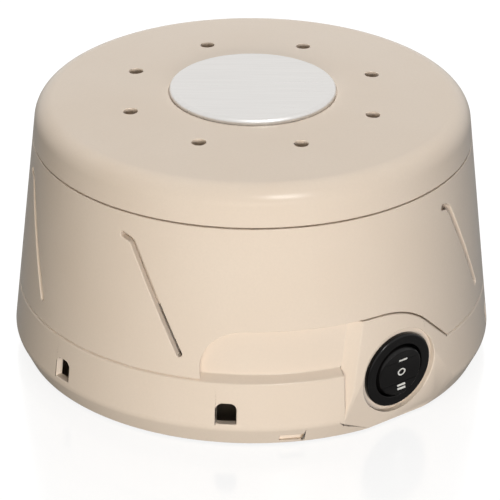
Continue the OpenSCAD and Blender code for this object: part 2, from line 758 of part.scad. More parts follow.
module badge() {
  color([0.87, 0.87, 0.87]) translate([0, 0, badge_seat]) turned(concat(
    [[0, 0], [badge_d / 2, 0]],
    arc(badge_d / 2 - badge_edge_r, badge_t - badge_edge_r, badge_edge_r, 0, 90),
    [[0, badge_t]]
  ));
}

module cap_washer() {
  color(steel_color) translate([0, 0, washer_z]) difference() {
    cylinder(h = washer_t, r = pivot_head_r + 0.6, $fn = 64);
    translate([0, 0, -cut_over]) cylinder(h = washer_t + 2 * cut_over, r = pivot_r + fit_gap, $fn = 64);
  }
}

module cap_screw() {
  head_z = washer_z + washer_t;
  color(steel_color) difference() {
    union() {
      translate([0, 0, head_z]) cylinder(h = pivot_head_h, r = pivot_head_r, $fn = 64);
      translate([0, 0, well_z]) cylinder(h = head_z - well_z, r = pivot_r, $fn = 64);
      translate([0, 0, screw_boss_z]) cylinder(h = well_z - screw_boss_z, r = pivot_thread_r - touch, $fn = 48);
    }
    for (turn = [0, 90]) rotate([0, 0, turn])
      translate([-pivot_head_r / 2, -drive_w / 2, head_z + pivot_head_h / 2])
        cube([pivot_head_r, drive_w, pivot_head_h]);
  }
}

// Black switch body: rim, barrel with a round well for the rocker, and snap ribs behind the panel
module switch_body() {
  color(dark_color) at_switch() difference() {
    union() {
      translate([0, 0, seat_y]) turned([
        [0, touch], [bezel_r, touch], [bezel_r, bezel_h - bezel_bevel],
        [bezel_r - bezel_bevel, bezel_h], [0, bezel_h]
      ]);
      translate([0, 0, barrel_y]) cylinder(h = barrel_l + bezel_h / 2, r = barrel_r, $fn = 96);
      for (side = [-1, 1]) translate([side * barrel_r - snap_w / 2, -snap_w, panel_y - 2 * snap_w - touch])
        cube([snap_w, 2 * snap_w, 2 * snap_w]);
    }
    translate([0, 0, barrel_y + inner_t]) cylinder(h = 2 * barrel_l, r = rocker_well_r, $fn = 96);
    translate([-rocker_well_r - pivot_pin_l, 0, -pivot_depth]) rotate([0, 90, 0])
      cylinder(h = 2 * (rocker_well_r + pivot_pin_l), r = pivot_pin_r + pin_gap, $fn = 48);
  }
}

// Black rocker: a slice of a ball with a dished face and two pivot pins; its gap stays the same as it tips
module switch_rocker() {
  color(dark_color) at_switch() {
    difference() {
      translate([0, 0, -pivot_depth]) sphere(r = rocker_r, $fn = 96);
      translate([-rocker_r, 0, rocker_mid + rocker_dish_r]) rotate([0, 90, 0])
        cylinder(h = 2 * rocker_r, r = rocker_dish_r, $fn = 180);
      translate([-cut_far / 2, -cut_far / 2, -pivot_depth - rocker_back - cut_far]) cube(cut_far);
    }
    translate([-pin_end, 0, -pivot_depth]) rotate([0, 90, 0])
      cylinder(h = 2 * pin_end, r = pivot_pin_r, $fn = 48);
  }
}

module switch_terminals() {
  color([0.8, 0.66, 0.3]) at_switch() for (i = [-1, 0, 1])
    translate([-terminal_w / 2, i * terminal_pitch - terminal_t / 2, barrel_y - terminal_l])
      cube([terminal_w, terminal_t, terminal_l]);
}

module stator_core() {
  color([0.5, 0.5, 0.52]) translate([0, 0, stator_z]) linear_extrude(stator_h) difference() {
    translate([-stator_w / 2, -stator_front]) square([stator_w, stator_l]);
    circle(r = rotor_r + air_gap, $fn = 96);
    translate([-stator_window_w / 2, stator_front]) square([stator_window_w, stator_window_l]);
    for (side = [-1, 1]) translate([side * bolt_x, 0]) circle(r = bolt_r + fit_gap, $fn = 48);
    for (side = [0, 180]) rotate(side) translate([shade_x - shade_t / 2, -shade_y - shade_t / 2])
      translate([-fit_gap, -fit_gap]) square(shade_t + 2 * fit_gap);
  }
}

// One copper loop round a corner of each pole
module shading_rings() {
  color([0.72, 0.43, 0.25]) for (side = [0, 180]) rotate([0, 0, side])
    translate([shade_x - shade_t / 2, -stator_front - shade_t - fit_gap, stator_z - shade_t - touch])
      difference() {
        cube([shade_t, shade_l + 2 * shade_t, stator_h + 2 * shade_t + 2 * touch]);
        translate([-cut_over, shade_t, shade_t]) cube([shade_t + 2 * cut_over, shade_l, stator_h + 2 * touch]);
      }
}

module coil_block(w, inset, l, r) {
  translate([0, leg_mid_y, stator_mid]) rotate([0, 90, 0]) translate([0, 0, -l / 2]) linear_extrude(l)
    difference() {
      polygon(rounded_rect(stator_h + 2 * w, stator_leg + 2 * w, r));
      square([stator_h + 2 * inset, stator_leg + 2 * inset], center = true);
    }
}

module bobbin() {
  color([0.9, 0.88, 0.8]) {
    coil_block(bobbin_t + fit_gap, fit_gap, coil_l, bobbin_t / 2);
    for (side = [-1, 1]) translate([side * (coil_l - bobbin_t) / 2, 0, 0])
      coil_block(1.5 * bobbin_t + winding_t, fit_gap, bobbin_t, bobbin_t);
  }
}

module winding() {
  color([0.7, 0.42, 0.2])
    coil_block(
      bobbin_t + winding_t, bobbin_t + fit_gap + touch, coil_l - 2 * bobbin_t - 2 * touch, winding_t / 2);
}

// Three-armed bracket under the stator, with its bush housing and posts
module lower_bracket() {
  color(steel_color) difference() {
    union() {
      translate([0, 0, lower_plate_z]) linear_extrude(bracket_t) {
        circle(r = bolt_x + 5, $fn = 96);
        for (arm = [0 : 2]) rotate(120 * arm) {
          translate([-bracket_arm_w / 2, -mount_ring_r]) square([bracket_arm_w, mount_ring_r]);
          translate([0, -mount_ring_r]) circle(r = mount_r + 1, $fn = 64);
        }
      }
      translate([0, 0, thrust_z - 1.4]) cylinder(h = bush_l + 1.4 + thrust_t, r = bracket_boss_r, $fn = 64);
      for (side = [-1, 1]) translate([side * bolt_x, 0, lower_plate_z])
        cylinder(h = stator_z - lower_plate_z, r = bolt_post_r, $fn = 48);
    }
    translate([0, 0, thrust_z]) cylinder(h = cut_far, r = bush_seat_r, $fn = 64);
    for (side = [-1, 1]) translate([side * bolt_x, 0, 0])
      cylinder(h = stator_z + cut_over, r = bolt_r + fit_gap, $fn = 48);
    ring_of(3, 0) translate([0, -mount_ring_r, 0]) cylinder(h = stator_z, r = mount_hole_r + touch, $fn = 48);
  }
}

module upper_bracket() {
  color(steel_color) difference() {
    union() {
      translate([0, 0, upper_plate_z]) linear_extrude(bracket_t)
        polygon(rounded_rect(2 * bolt_x + 10, 2 * bracket_boss_r, 4));
      translate([0, 0, bush_end_z - bush_l]) cylinder(h = bush_l, r = bracket_boss_r, $fn = 64);
      for (side = [-1, 1]) translate([side * bolt_x, 0, stator_top])
        cylinder(h = post_h, r = bolt_post_r, $fn = 48);
    }
    translate([0, 0, stator_top]) cylinder(h = cut_far, r = bush_seat_r, $fn = 64);
    for (side = [-1, 1]) translate([side * bolt_x, 0, stator_top - cut_over])
      cylinder(h = 2 * post_h, r = bolt_r + fit_gap, $fn = 48);
  }
}

module bush(z) {
  color([0.75, 0.6, 0.35]) translate([0, 0, z]) difference() {
    cylinder(h = bush_l, r = bush_r, $fn = 64);
    translate([0, 0, -cut_over]) cylinder(h = bush_l + 2 * cut_over, r = shaft_r + bush_gap, $fn = 64);
  }
}

module lower_bush() {
  bush(shaft_low_z + 0.2);
}

module upper_bush() {
  bush(bush_end_z - bush_l);
}

module thrust_disc() {
  color([0.35, 0.2, 0.12]) translate([0, 0, thrust_z + touch])
    cylinder(h = thrust_t - touch, r = bush_r - fit_gap, $fn = 48);
}

// Two bolts through both brackets and the stator, with hexagon nuts below
module motor_bolts() {
  head_z = upper_plate_z + bracket_t;
  color(steel_color) for (side = [-1, 1]) translate([side * bolt_x, 0, 0]) difference() {
    union() {
      translate([0, 0, lower_plate_z - bolt_nut_h - 0.4])
        cylinder(h = head_z - lower_plate_z + bolt_nut_h + 0.4, r = bolt_r, $fn = 32);
      translate([0, 0, head_z]) cylinder(h = bolt_head_h, r = bolt_r + 1.6, $fn = 40);
      translate([0, 0, lower_plate_z - bolt_nut_h]) cylinder(h = bolt_nut_h, r = bolt_r + 2.1, $fn = 6);
    }
    translate([-bolt_post_r, -drive_w / 2, head_z + bolt_head_h / 2])
      cube([2 * bolt_post_r, drive_w, bolt_head_h]);
  }
}

module mount_grommets() {
  color(dark_color) ring_of(3, 0) translate([0, -mount_ring_r, boss_top_z + touch])
    turned([
      [mount_screw_r + fit_gap, 0], [mount_r, 0], [mount_r, mount_low - 2 * touch],
      [mount_hole_r, mount_low - 2 * touch], [mount_hole_r, mount_low + bracket_t],
      [mount_r, mount_low + bracket_t], [mount_r, mount_top - 2 * touch],
      [mount_screw_r + fit_gap, mount_top - 2 * touch]
    ]);
}

module mount_screws() {
  head_z = boss_top_z + mount_top;
  color(steel_color) ring_of(3, 0) translate([0, -mount_ring_r, head_z]) mirror([0, 0, 1])
    screw_up(mount_screw_r - 2 * touch, head_z - plate_top - cut_over, mount_screw_r + 2, 2);
}

// Laminated rotor with an end ring at each face
module rotor_core() {
  color([0.6, 0.6, 0.63]) difference() {
    union() {
      translate([0, 0, stator_z]) cylinder(h = stator_h, r = rotor_r, $fn = 96);
      translate([0, 0, stator_z - end_ring_h])
        cylinder(h = stator_h + 2 * end_ring_h, r = rotor_r - 1, $fn = 96);
    }
    cylinder(h = cut_far, r = shaft_r + touch, $fn = 64);
  }
}

module rotor_shaft() {
  color(steel_color) translate([0, 0, thrust_z + thrust_t + touch])
    cylinder(h = shaft_top_z - thrust_z - thrust_t - touch, r = shaft_r, $fn = 64);
}

// Disc with curved blades set at uneven angles
module fan() {
  color([0.2, 0.2, 0.21]) difference() {
    union() {
      translate([0, 0, fan_low_z]) cylinder(h = blade_t, r = fan_r, $fn = round_fn);
      translate([0, 0, fan_low_z]) cylinder(h = fan_hub_h, r = fan_hub_r, $fn = 64);
      for (i = [0 : blade_count - 1])
        rotate([0, 0, 360 * i / blade_count + blade_shift * sin(720 * i / blade_count)])
          translate([0, 0, fan_low_z + blade_t / 2]) fan_blade();
    }
    cylinder(h = cut_far, r = shaft_r + touch, $fn = 64);
  }
}

// A blade is the part of a thin ring between the hub and the rim of the disc
module fan_blade() {
  linear_extrude(blade_t / 2 + blade_h) intersection() {
    difference() {
      circle(r = fan_r - blade_t / 2, $fn = round_fn);
      circle(r = fan_hub_r - blade_t / 2, $fn = 64);
    }
    translate([blade_curve_r * cos(blade_root_az), -blade_curve_r * sin(blade_root_az)]) difference() {
      circle(r = blade_curve_r, $fn = 96);
      circle(r = blade_curve_r - blade_t, $fn = 96);
    }
    translate([0, -cut_far]) square(2 * cut_far);
    rotate(-blade_start_az) square(cut_far);
  }
}

module fan_clip() {
  color(steel_color) translate([0, 0, fan_top_z + touch]) difference() {
    cylinder(h = clip_t, r = shaft_r + 2.4, $fn = 48);
    translate([0, 0, -cut_over]) cylinder(h = clip_t + 2 * cut_over, r = shaft_r + touch, $fn = 48);
  }
}

module terminal_block() {
  color([0.93, 0.92, 0.88]) translate([block_x, block_y, plate_top + touch]) difference() {
    linear_extrude(block_h) polygon(rounded_rect(block_l, block_w, 1.2));
    for (side = [-1, 1]) translate([side * block_l / 4, 0, block_h - block_well_d])
      cylinder(h = block_h, r = block_well_r, $fn = 40);
  }
}

module speed_capacitor() {
  color([0.85, 0.75, 0.25]) translate([cap_box_x, cap_box_y, plate_top + touch])
    linear_extrude(cap_box_h) polygon(rounded_rect(cap_box_l, cap_box_w, 1));
}

// A lead is a tube swept along its route, whose corners are cut off once; each ring stands square to the route
lead_sides = 8;
function unit(v) = v / norm(v);
function eased(p) = concat(
  [p[0]],
  [for (i = [0 : len(p) - 2], part = [0.25, 0.75])
    if (i + part > 0.5 && i + part < len(p) - 1.5) p[i] + part * (p[i + 1] - p[i])],
  [p[len(p) - 1]]
);
function tangent(p, i) = unit(p[min(i + 1, len(p) - 1)] - p[max(i - 1, 0)]);
function lead_ring(p, i) =
  let (t = tangent(p, i), a = unit(cross(t, abs(t[2]) > 0.8 ? [1, 0, 0] : [0, 0, 1])), b = cross(t, a))
  [for (k = [0 : lead_sides - 1])
    p[i] + lead_r * (cos(360 * k / lead_sides) * a + sin(360 * k / lead_sides) * b)];
module lead(route) {
  path = eased(route);
  last = len(path) - 1;
  n = lead_sides;
  polyhedron(
    points = [for (i = [0 : last]) each lead_ring(path, i)],
    faces = concat(
      [[for (k = [n - 1 : -1 : 0]) k]],
      [for (i = [0 : last - 1], k = [0 : n - 1]) [i * n + k, i * n + (k + 1) % n, (i + 1) * n + (k + 1) % n]],
      [for (i = [0 : last - 1], k = [0 : n - 1]) [i * n + k, (i + 1) * n + (k + 1) % n, (i + 1) * n + k]],
      [[for (k = [0 : n - 1]) last * n + k]]
    ),
    convexity = 6
  );
}

// A point inside the machine, back behind the end of one of the switch's tabs
function spun(p, az) = [p[0] * cos(az) - p[1] * sin(az), p[0] * sin(az) + p[1] * cos(az), p[2]];
function tab_end(tab, back = 0) =
  let (y = tab * terminal_pitch, z = barrel_y - terminal_l - back, a = 90 + pod_lean)
  spun([0, y * cos(a) - z * sin(a) - pod_face_r, y * sin(a) + z * cos(a) + switch_z], pod_az);
block_in_y = block_y - block_w / 2;
block_out_y = block_y + block_w / 2;
block_lead_z = plate_top + 5;
cap_lead_z = plate_top + cap_box_h;
coil_end_y = leg_mid_y + stator_leg / 2 + bobbin_t + winding_t;

// From the terminal block to the switch's middle tab
supply_route = [
  [block_x + 5, block_in_y, block_lead_z], [block_x + 5, block_in_y - 4, block_lead_z],
  [36, 27, 8], [42, 17, 8], [46, 5, 8], [46, -6, 9], [42, -16, 12], [34, -22, 16], [26, -25, 19],
  tab_end(0, 6), tab_end(0)
];
// From the switch's upper tab to the speed capacitor
low_speed_route = [
  tab_end(1), tab_end(1, 5), [15, -31, 25], [4, -34, 24], [-8, -35, 24], [-20, -34, 25], [-28, -31, 27],
  [cap_box_x + 6, cap_box_y, 26], [cap_box_x + 6, cap_box_y, cap_lead_z]
];
// From the speed capacitor to the winding
capacitor_route = [
  [cap_box_x - 6, cap_box_y, cap_lead_z], [cap_box_x - 6, cap_box_y, 25], [-46, -18, 27], [-48, -6, 28],
  [-47, 8, 29], [-42, 22, 30], [-34, 36, 31], [-24, 48, 31], [-12, 56, 31], [-7, 56, 30], [-7, coil_end_y, 30]
];
// From the switch's lower tab to the winding
high_speed_route = [
  tab_end(-1), tab_end(-1, 5), [30, -22, 13], [38, -15, 13], [42, -4, 13], [43, 8, 14], [41, 20, 17],
  [37, 32, 21], [31, 44, 26], [22, 52, 30], [12, 57, 31], [7, 56, 31], [7, coil_end_y, 31]
];
// From the winding back to the terminal block
return_route = [
  [0, coil_end_y, 22], [0, coil_end_y + 4, 22], [4, coil_end_y + 7, 19], [10, coil_end_y + 7, 14],
  [block_x - 9, coil_end_y + 6, 10], [block_x - 5, block_out_y + 5, block_lead_z],
  [block_x - 5, block_out_y, block_lead_z]
];
module supply_lead() {
  color("saddlebrown") lead(supply_route);
}

module low_speed_lead() {
  color("firebrick") lead(low_speed_route);
}

module capacitor_lead() {
  color("white") lead(capacitor_route);
}

module high_speed_lead() {
  color("dimgray") lead(high_speed_route);
}

module return_lead() {
  color("steelblue") lead(return_route);
}

base_shell();
base_plate();
feet();
base_screws();
acoustic_housing();
housing_screws();
collar();
cap();
badge();
cap_screw();
cap_washer();
switch_body();
switch_rocker();
switch_terminals();
stator_core();
shading_rings();
bobbin();
winding();
lower_bracket();
upper_bracket();
lower_bush();
upper_bush();
thrust_disc();
motor_bolts();
mount_grommets();
mount_screws();
rotor_core();
rotor_shaft();
fan();
fan_clip();
cord_grommet();
terminal_block();
speed_capacitor();
supply_lead();
low_speed_lead();
capacitor_lead();
high_speed_lead();
return_lead();
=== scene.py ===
import math

import bmesh
import bpy
from bpy.props import FloatProperty, FloatVectorProperty, IntProperty, PointerProperty
from bpy.types import Operator, Panel, PropertyGroup
from mathutils import Matrix, Vector


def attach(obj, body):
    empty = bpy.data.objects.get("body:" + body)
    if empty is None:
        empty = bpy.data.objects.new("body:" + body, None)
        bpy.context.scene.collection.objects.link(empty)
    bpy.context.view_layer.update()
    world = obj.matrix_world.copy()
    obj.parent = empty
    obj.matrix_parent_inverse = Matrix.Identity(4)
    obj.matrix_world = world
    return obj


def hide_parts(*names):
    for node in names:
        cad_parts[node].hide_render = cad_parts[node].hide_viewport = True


bl_info = {
    "name": "Sound machine",
    "version": (1, 0, 0),
    "blender": (4, 5, 0),
    "location": "3D View > Sidebar > Sound machine",
    "description": "Builds the mouldings, switch, badge and finishes of a round sound machine",
    "category": "Object",
}

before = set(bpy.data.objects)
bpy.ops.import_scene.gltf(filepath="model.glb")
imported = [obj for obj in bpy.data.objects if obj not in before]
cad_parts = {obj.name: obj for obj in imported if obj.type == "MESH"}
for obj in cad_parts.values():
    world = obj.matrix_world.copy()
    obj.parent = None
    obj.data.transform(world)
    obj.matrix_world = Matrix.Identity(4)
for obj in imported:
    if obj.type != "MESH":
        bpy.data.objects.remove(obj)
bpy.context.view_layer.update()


# ---------------------------------------------------------------- sizes and colours


def length(name, description, default):
    return FloatProperty(name=name, description=description, default=default, unit="LENGTH", subtype="DISTANCE")


def degrees(name, description, default):
    return FloatProperty(name=name, description=description, default=math.radians(default), unit="ROTATION", subtype="ANGLE")


def colour(name, description, red, green, blue):
    """A colour property whose default is given as screen values from 0 to 255."""
    return FloatVectorProperty(
        name=name, description=description, size=3, subtype="COLOR", min=0, max=1,
        default=[linear(red), linear(green), linear(blue)],
    )


def linear(value):
    value /= 255
    return value / 12.92 if value <= 0.04045 else ((value + 0.055) / 1.055) ** 2.4


class MachineBodySizes(PropertyGroup):
    widest_r: length("Widest radius", "Widest radius of the round body", 0.073)
    taper: degrees("Side taper", "How far the side leans in", 6.2)
    height: length("Height", "Height of the top at its middle, without the badge", 0.0825)
    crown_r: length("Crown radius", "Radius of curvature of the domed top", 0.92)
    shoulder_r: length("Shoulder radius", "Radius between the side and the top", 0.0064)
    edge_r: length("Edge radius", "Radius of the rounded edge at the widest line", 0.004)
    edge_z: length("Edge height", "Height of the widest line", 0.0075)
    foot_lean: degrees("Foot lean", "How far the foot of the side leans in", 26.5)
    rim_z: length("Rim height", "Height of the bottom rim above the table", 0.0005)
    rim_w: length("Rim width", "Width of the bottom rim", 0.0026)
    wall: length("Wall", "Thickness of the outer mouldings", 0.0024)
    inner_wall: length("Inner wall", "Thickness of the inner walls", 0.002)
    turn_gap: length("Turning gap", "Clearance between shells that turn on each other", 0.00035)
    collar_seam_z: length("Collar seam", "Height of the seam between the band and the collar", 0.0212)
    cap_seam_z: length("Cap seam", "Height of the seam between the collar and the cap", 0.0687)
    seam: length("Seam width", "Width of both seams", 0.0004)
    ledge_rise: length("Ledge rise", "How far the ledge rises to the inner wall", 0.0018)
    join_z: length("Join height", "Height at which the housing stands on the base shell", 0.046)
    soft_edge: length("Moulded edge", "Radius of the moulded edges", 0.00035)


class MachineSlotSizes(PropertyGroup):
    places: IntProperty(name="Places", description="Places for slots and windows round the body", default=8)
    first_az: degrees("First slot", "Azimuth of the first slot", -24.3)
    width: length("Slot width", "Width of a slot", 0.0018)
    port_width: length("Port width", "Width of the port behind a slot", 0.0034)
    low_u: length("Lower end sideways", "Sideways place of the lower end", 0.0087)
    low_z: length("Lower end height", "Height of the lower end", 0.0288)
    bend_u: length("Bend sideways", "Sideways place at which the slot bends", -0.007)
    bend_z: length("Bend height", "Height at which the slot bends", 0.0594)
    bend_r: length("Bend radius", "Radius of the bend", 0.0035)
    bend_angle: degrees("Bend angle", "Angle through which the slot bends", 46)
    tail: length("Tail", "Straight tail after the bend", 0.0017)
    port_top_z: length("Port top", "Height of the port's upper end", 0.041)
    window_az: degrees("First window", "Azimuth of the first window", -5.7)
    window_w: length("Window width", "Width of a window", 0.006)
    window_low_z: length("Window sill", "Height of a window's sill", 0.0084)
    window_top_z: length("Window top", "Height of a window's top", 0.0148)
    window_r: length("Window corners", "Radius of a window's upper corners", 0.002)


class MachineCutOutSizes(PropertyGroup):
    middle_az: degrees("Middle", "Azimuth of the middle of the cut-out", 20.25)
    left: length("Left half", "Half the width at the left end", 0.038)
    left_r: length("Left corner", "Radius of the upper left corner", 0.0122)
    top_z: length("Top", "Height of the top of the cut-out", 0.0372)
    right_u: length("Right start", "Sideways place at which the top starts to fall", 0.015)
    right_r: length("Right corner", "Radius of the upper right corner", 0.024)
    right_fall: degrees("Right slope", "Slope of the straight stretch on the right", 45)
    gap: length("Gap", "Clearance round the switch block", 0.00045)
    flank_az: degrees("Flank", "Azimuth of the block's left edge", 22.4)
    flank_slope: degrees("Flank slope", "Slope of the block's left flank", 33)
    flank_tilt: degrees("Flank tilt", "Tilt of the flank's foot", 7.1)
    soft_edge: length("Block edge", "Radius of the block's edges", 0.0004)


class MachineCapSizes(PropertyGroup):
    holes: IntProperty(name="Holes", description="Number of holes in the cap", default=8)
    hole_ring_r: length("Hole ring", "Radius of the ring of holes", 0.0389)
    hole_r: length("Hole radius", "Radius of a hole", 0.0021)
    hole_az: degrees("First hole", "Azimuth of the first hole", 21.4)
    hole_edge: length("Hole edge", "Width of a hole's softened edge", 0.0003)
    badge_r: length("Badge radius", "Radius of the badge", 0.0251)
    badge_top: length("Badge height", "Height of the badge's face above the top of the cap", 0.0015)
    badge_t: length("Badge thickness", "Thickness of the badge over the screw", 0.0014)
    badge_edge: length("Badge edge", "Radius of the badge's rounded edge", 0.0013)
    badge_gap: length("Badge gap", "Gap round the badge", 0.0003)
    seat_d: length("Seat depth", "Depth of the badge's seat below the top of the cap", 0.0009)
    skirt_w: length("Skirt width", "Width of the skirt under the badge's edge", 0.006)
    bore_r: length("Bore", "Radius of the bore on the cap screw", 0.00306)
    hub_r: length("Hub", "Radius of the hub under the cap", 0.0085)
    hub_drop: length("Hub depth", "How far the hub reaches below the cap", 0.0026)
    pocket_r: length("Screw pocket", "Radius of the pocket for the screw's head", 0.0064)
    pocket_d: length("Pocket depth", "Depth of the pocket below the badge", 0.0017)
    peg_r: length("Peg", "Radius of the stop peg", 0.0015)
    peg_ring_r: length("Peg ring", "Radius at which the peg runs", 0.051)


class MachineSwitchSizes(PropertyGroup):
    az: degrees("Azimuth", "Azimuth of the switch", 38.4)
    lean: degrees("Lean", "How far the flat leans out at its top", 4.5)
    face_r: length("Flat distance", "Distance of the flat from the axis", 0.0703)
    z: length("Height", "Height of the switch's middle", 0.0169)
    recess_r: length("Recess radius", "Radius of the round recess", 0.0136)
    recess_d: length("Recess depth", "Depth of the round recess", 0.0018)
    panel: length("Panel", "Thickness of the panel behind the recess", 0.0022)
    rim_r: length("Rim radius", "Radius of the switch's rim", 0.012)
    rim_h: length("Rim height", "Height of the rim above its seat", 0.0017)
    barrel_r: length("Barrel radius", "Radius of the switch's barrel", 0.0099)
    barrel_l: length("Barrel length", "Length of the barrel behind its seat", 0.019)
    rocker_r: length("Rocker radius", "Radius of the ball that the rocker is cut from", 0.0084)
    rocker_gap: length("Rocker gap", "Gap round the rocker", 0.0003)
    pivot_d: length("Pivot depth", "Depth of the rocker's pivot behind the flat", 0.0026)
    dish_r: length("Dish radius", "Radius of the rocker's dished face", 0.03)
    dish_mid: length("Dish height", "Height of the dished face at its middle", 0.0004)
    back: length("Rocker back", "Depth of the rocker behind its pivot", 0.0034)
    pin_r: length("Pivot pin", "Radius of the pivot pins", 0.001)
    pin_l: length("Pin length", "Length of a pivot pin in the wall", 0.0008)


class MachineColours(PropertyGroup):
    shell: colour("Shell", "Beige of the mouldings", 227, 213, 198)
    shell_warm: colour("Shell, warmer", "Second beige of the mouldings' soft mottling", 225, 210, 194)
    badge: colour("Badge", "Light grey of the badge", 221, 219, 217)
    black: colour("Black", "Black of the switch", 12, 11, 11)
    mark: colour("Marks", "White of the switch's marks", 226, 226, 222)
    floor: colour("Floor", "Grey that the floor adds to its own white", 100, 100, 99)


class MachineLight(PropertyGroup):
    fill_az: degrees("Fill azimuth", "Azimuth of the middle of the low panels in front", 4)
    fill_up: degrees("Fill elevation", "Elevation of the wide, low panels in front", 9)
    fill_spread: degrees("Fill spread", "Angle of each front panel from the middle", 10)
    fill_warm: FloatVectorProperty(
        name="Left fill colour", description="Warm colour of the panel on the left", size=3, subtype="COLOR",
        min=0, max=2, default=(1.0, 0.91, 0.76))
    fill_cool: FloatVectorProperty(
        name="Right fill colour", description="Cooler colour of the panel on the right", size=3, subtype="COLOR",
        min=0, max=2, default=(0.98, 1.0, 1.05))
    fill_power: FloatProperty(name="Fill power", description="Power of the panel in front in watts", default=16.2, unit="POWER")
    top_az: degrees("Top azimuth", "Azimuth of the panel behind and above", 180)
    top_up: degrees("Top elevation", "Elevation of the panel behind and above", 60)
    top_power: FloatProperty(name="Top power", description="Power of the panel above in watts", default=15.0, unit="POWER")
    softbox_az: degrees("Softbox azimuth", "Azimuth of the small softbox, to the right of the front", 18)
    softbox_up: degrees("Softbox elevation", "Elevation of the softbox", 42)
    softbox_power: FloatProperty(name="Softbox power", description="Power of the softbox in watts", default=4.2, unit="POWER")
    room: FloatProperty(name="Room light", description="Strength of the light from all round", default=0.04)
    distance: length("Distance", "Distance of the large panels", 1.3)


# ---------------------------------------------------------------- shaping tools


def new_piece(bm, name):
    """Turns a bmesh in the row frame into an object at the origin."""
    mesh = bpy.data.meshes.new(name)
    bm.to_mesh(mesh)
    bm.free()
    piece = bpy.data.objects.new(name, mesh)
    bpy.context.scene.collection.objects.link(piece)
    return piece


def arc(x, y, radius, start, end, steps):
    turn = (end - start) / steps
    return [(x + radius * math.cos(start + turn * i), y + radius * math.sin(start + turn * i)) for i in range(steps + 1)]


def rounded(corners, steps=12):
    """A closed outline from corners (x, y, radius): each corner with a radius is rounded by it."""
    outline = []
    for i, (x, y, radius) in enumerate(corners):
        here = Vector((x, y))
        if not radius:
            outline.append((x, y))
            continue
        back = Vector(corners[i - 1][:2]) - here
        ahead = Vector(corners[(i + 1) % len(corners)][:2]) - here
        half = back.angle(ahead) / 2
        step = min(radius / math.tan(half), 0.49 * back.length, 0.49 * ahead.length)
        centre = here + (back.normalized() + ahead.normalized()).normalized() * (step / math.cos(half))
        first = here + back.normalized() * step - centre
        last = here + ahead.normalized() * step - centre
        sweep = first.angle_signed(last)
        count = max(2, round(steps * abs(sweep) / (math.pi / 2)))
        for k in range(count + 1):
            a = -sweep * k / count
            outline.append((
                centre.x + first.x * math.cos(a) - first.y * math.sin(a),
                centre.y + first.x * math.sin(a) + first.y * math.cos(a),
            ))
    return outline


def turned(profile, steps, shift=0.0):
    """A solid of revolution about Z from a closed outline of (radius, height) points."""
    bm = bmesh.new()
    start = shift * math.tau / steps
    ring = [bm.verts.new((r * math.cos(start), r * math.sin(start), z)) for r, z in profile]
    loop = [bm.edges.new((a, b)) for a, b in zip(ring, ring[1:] + ring[:1])]
    bmesh.ops.spin(
        bm, geom=ring + loop, cent=(0, 0, 0), axis=(0, 0, 1), dvec=(0, 0, 0), angle=math.tau, steps=steps,
        use_merge=True, use_normal_flip=False, use_duplicate=False,
    )
    bmesh.ops.remove_doubles(bm, verts=bm.verts, dist=1e-6)
    bmesh.ops.dissolve_degenerate(bm, dist=1e-7, edges=bm.edges)
    bmesh.ops.recalc_face_normals(bm, faces=bm.faces)
    return bm


def prism(outline, az, from_r=0.055, to_r=0.09):
    """A bar that runs outwards through the side at an azimuth; its outline is drawn as seen from outside."""
    bm = bmesh.new()
    face = bm.faces.new([bm.verts.new((u, -from_r, z)) for u, z in outline])
    side = bmesh.ops.extrude_face_region(bm, geom=[face])
    moved = [v for v in side["geom"] if isinstance(v, bmesh.types.BMVert)]
    bmesh.ops.translate(bm, verts=moved, vec=(0, from_r - to_r, 0))
    bmesh.ops.remove_doubles(bm, verts=bm.verts, dist=1e-6)
    bmesh.ops.recalc_face_normals(bm, faces=bm.faces)
    bmesh.ops.transform(bm, matrix=Matrix.Rotation(az, 4, "Z"), verts=bm.verts)
    return bm


def rod(radius, low, high, place=Matrix.Identity(4), sides=96):
    """A closed cylinder along Z between two heights, then put in its place."""
    bm = bmesh.new()
    middle = Matrix.Translation((0, 0, (low + high) / 2))
    bmesh.ops.create_cone(
        bm, cap_ends=True, segments=sides, radius1=radius, radius2=radius, depth=high - low, matrix=place @ middle,
    )
    return bm


def block(low, high, place=Matrix.Identity(4)):
    """A closed box between two corners, then put in its place."""
    low, high = Vector(low), Vector(high)
    size = high - low
    bm = bmesh.new()
    bmesh.ops.create_cube(
        bm, size=1, matrix=place @ Matrix.Translation((low + high) / 2) @ Matrix.Diagonal((*size, 1)),
    )
    return bm


def loosened(piece):
    """Takes a piece's mesh back into a bmesh and drops the piece."""
    bm = bmesh.new()
    bm.from_mesh(piece.data)
    bpy.data.meshes.remove(piece.data)
    return bm


def joined(meshes):
    """One bmesh that holds several separate closed shapes."""
    whole = bmesh.new()
    for bm in meshes:
        part = bpy.data.meshes.new("part")
        bm.to_mesh(part)
        bm.free()
        whole.from_mesh(part)
        bpy.data.meshes.remove(part)
    return whole


def combined(piece, bm, operation):
    """Cuts a shape out of a piece, joins it on, or keeps what both hold."""
    tool = new_piece(bm, "tool")
    change = piece.modifiers.new("change", "BOOLEAN")
    change.operation = operation
    change.solver = "EXACT"
    change.object = tool
    view = bpy.context.evaluated_depsgraph_get()
    mesh = bpy.data.meshes.new_from_object(piece.evaluated_get(view))
    piece.modifiers.clear()
    old = piece.data
    piece.data = mesh
    mesh.name = piece.name
    bpy.data.meshes.remove(old)
    bpy.data.meshes.remove(tool.data)
    cleaned(mesh, 0.000002)
    if not len(mesh.polygons):
        raise RuntimeError(f"{piece.name}: nothing is left after {operation}")
    return piece


def cleaned(mesh, nearness):
    """Merges vertices that lie together and drops the faces that this flattens."""
    bm = bmesh.new()
    bm.from_mesh(mesh)
    bmesh.ops.remove_doubles(bm, verts=bm.verts, dist=nearness)
    bmesh.ops.dissolve_degenerate(bm, dist=nearness / 2, edges=bm.edges)
    bm.to_mesh(mesh)
    bm.free()


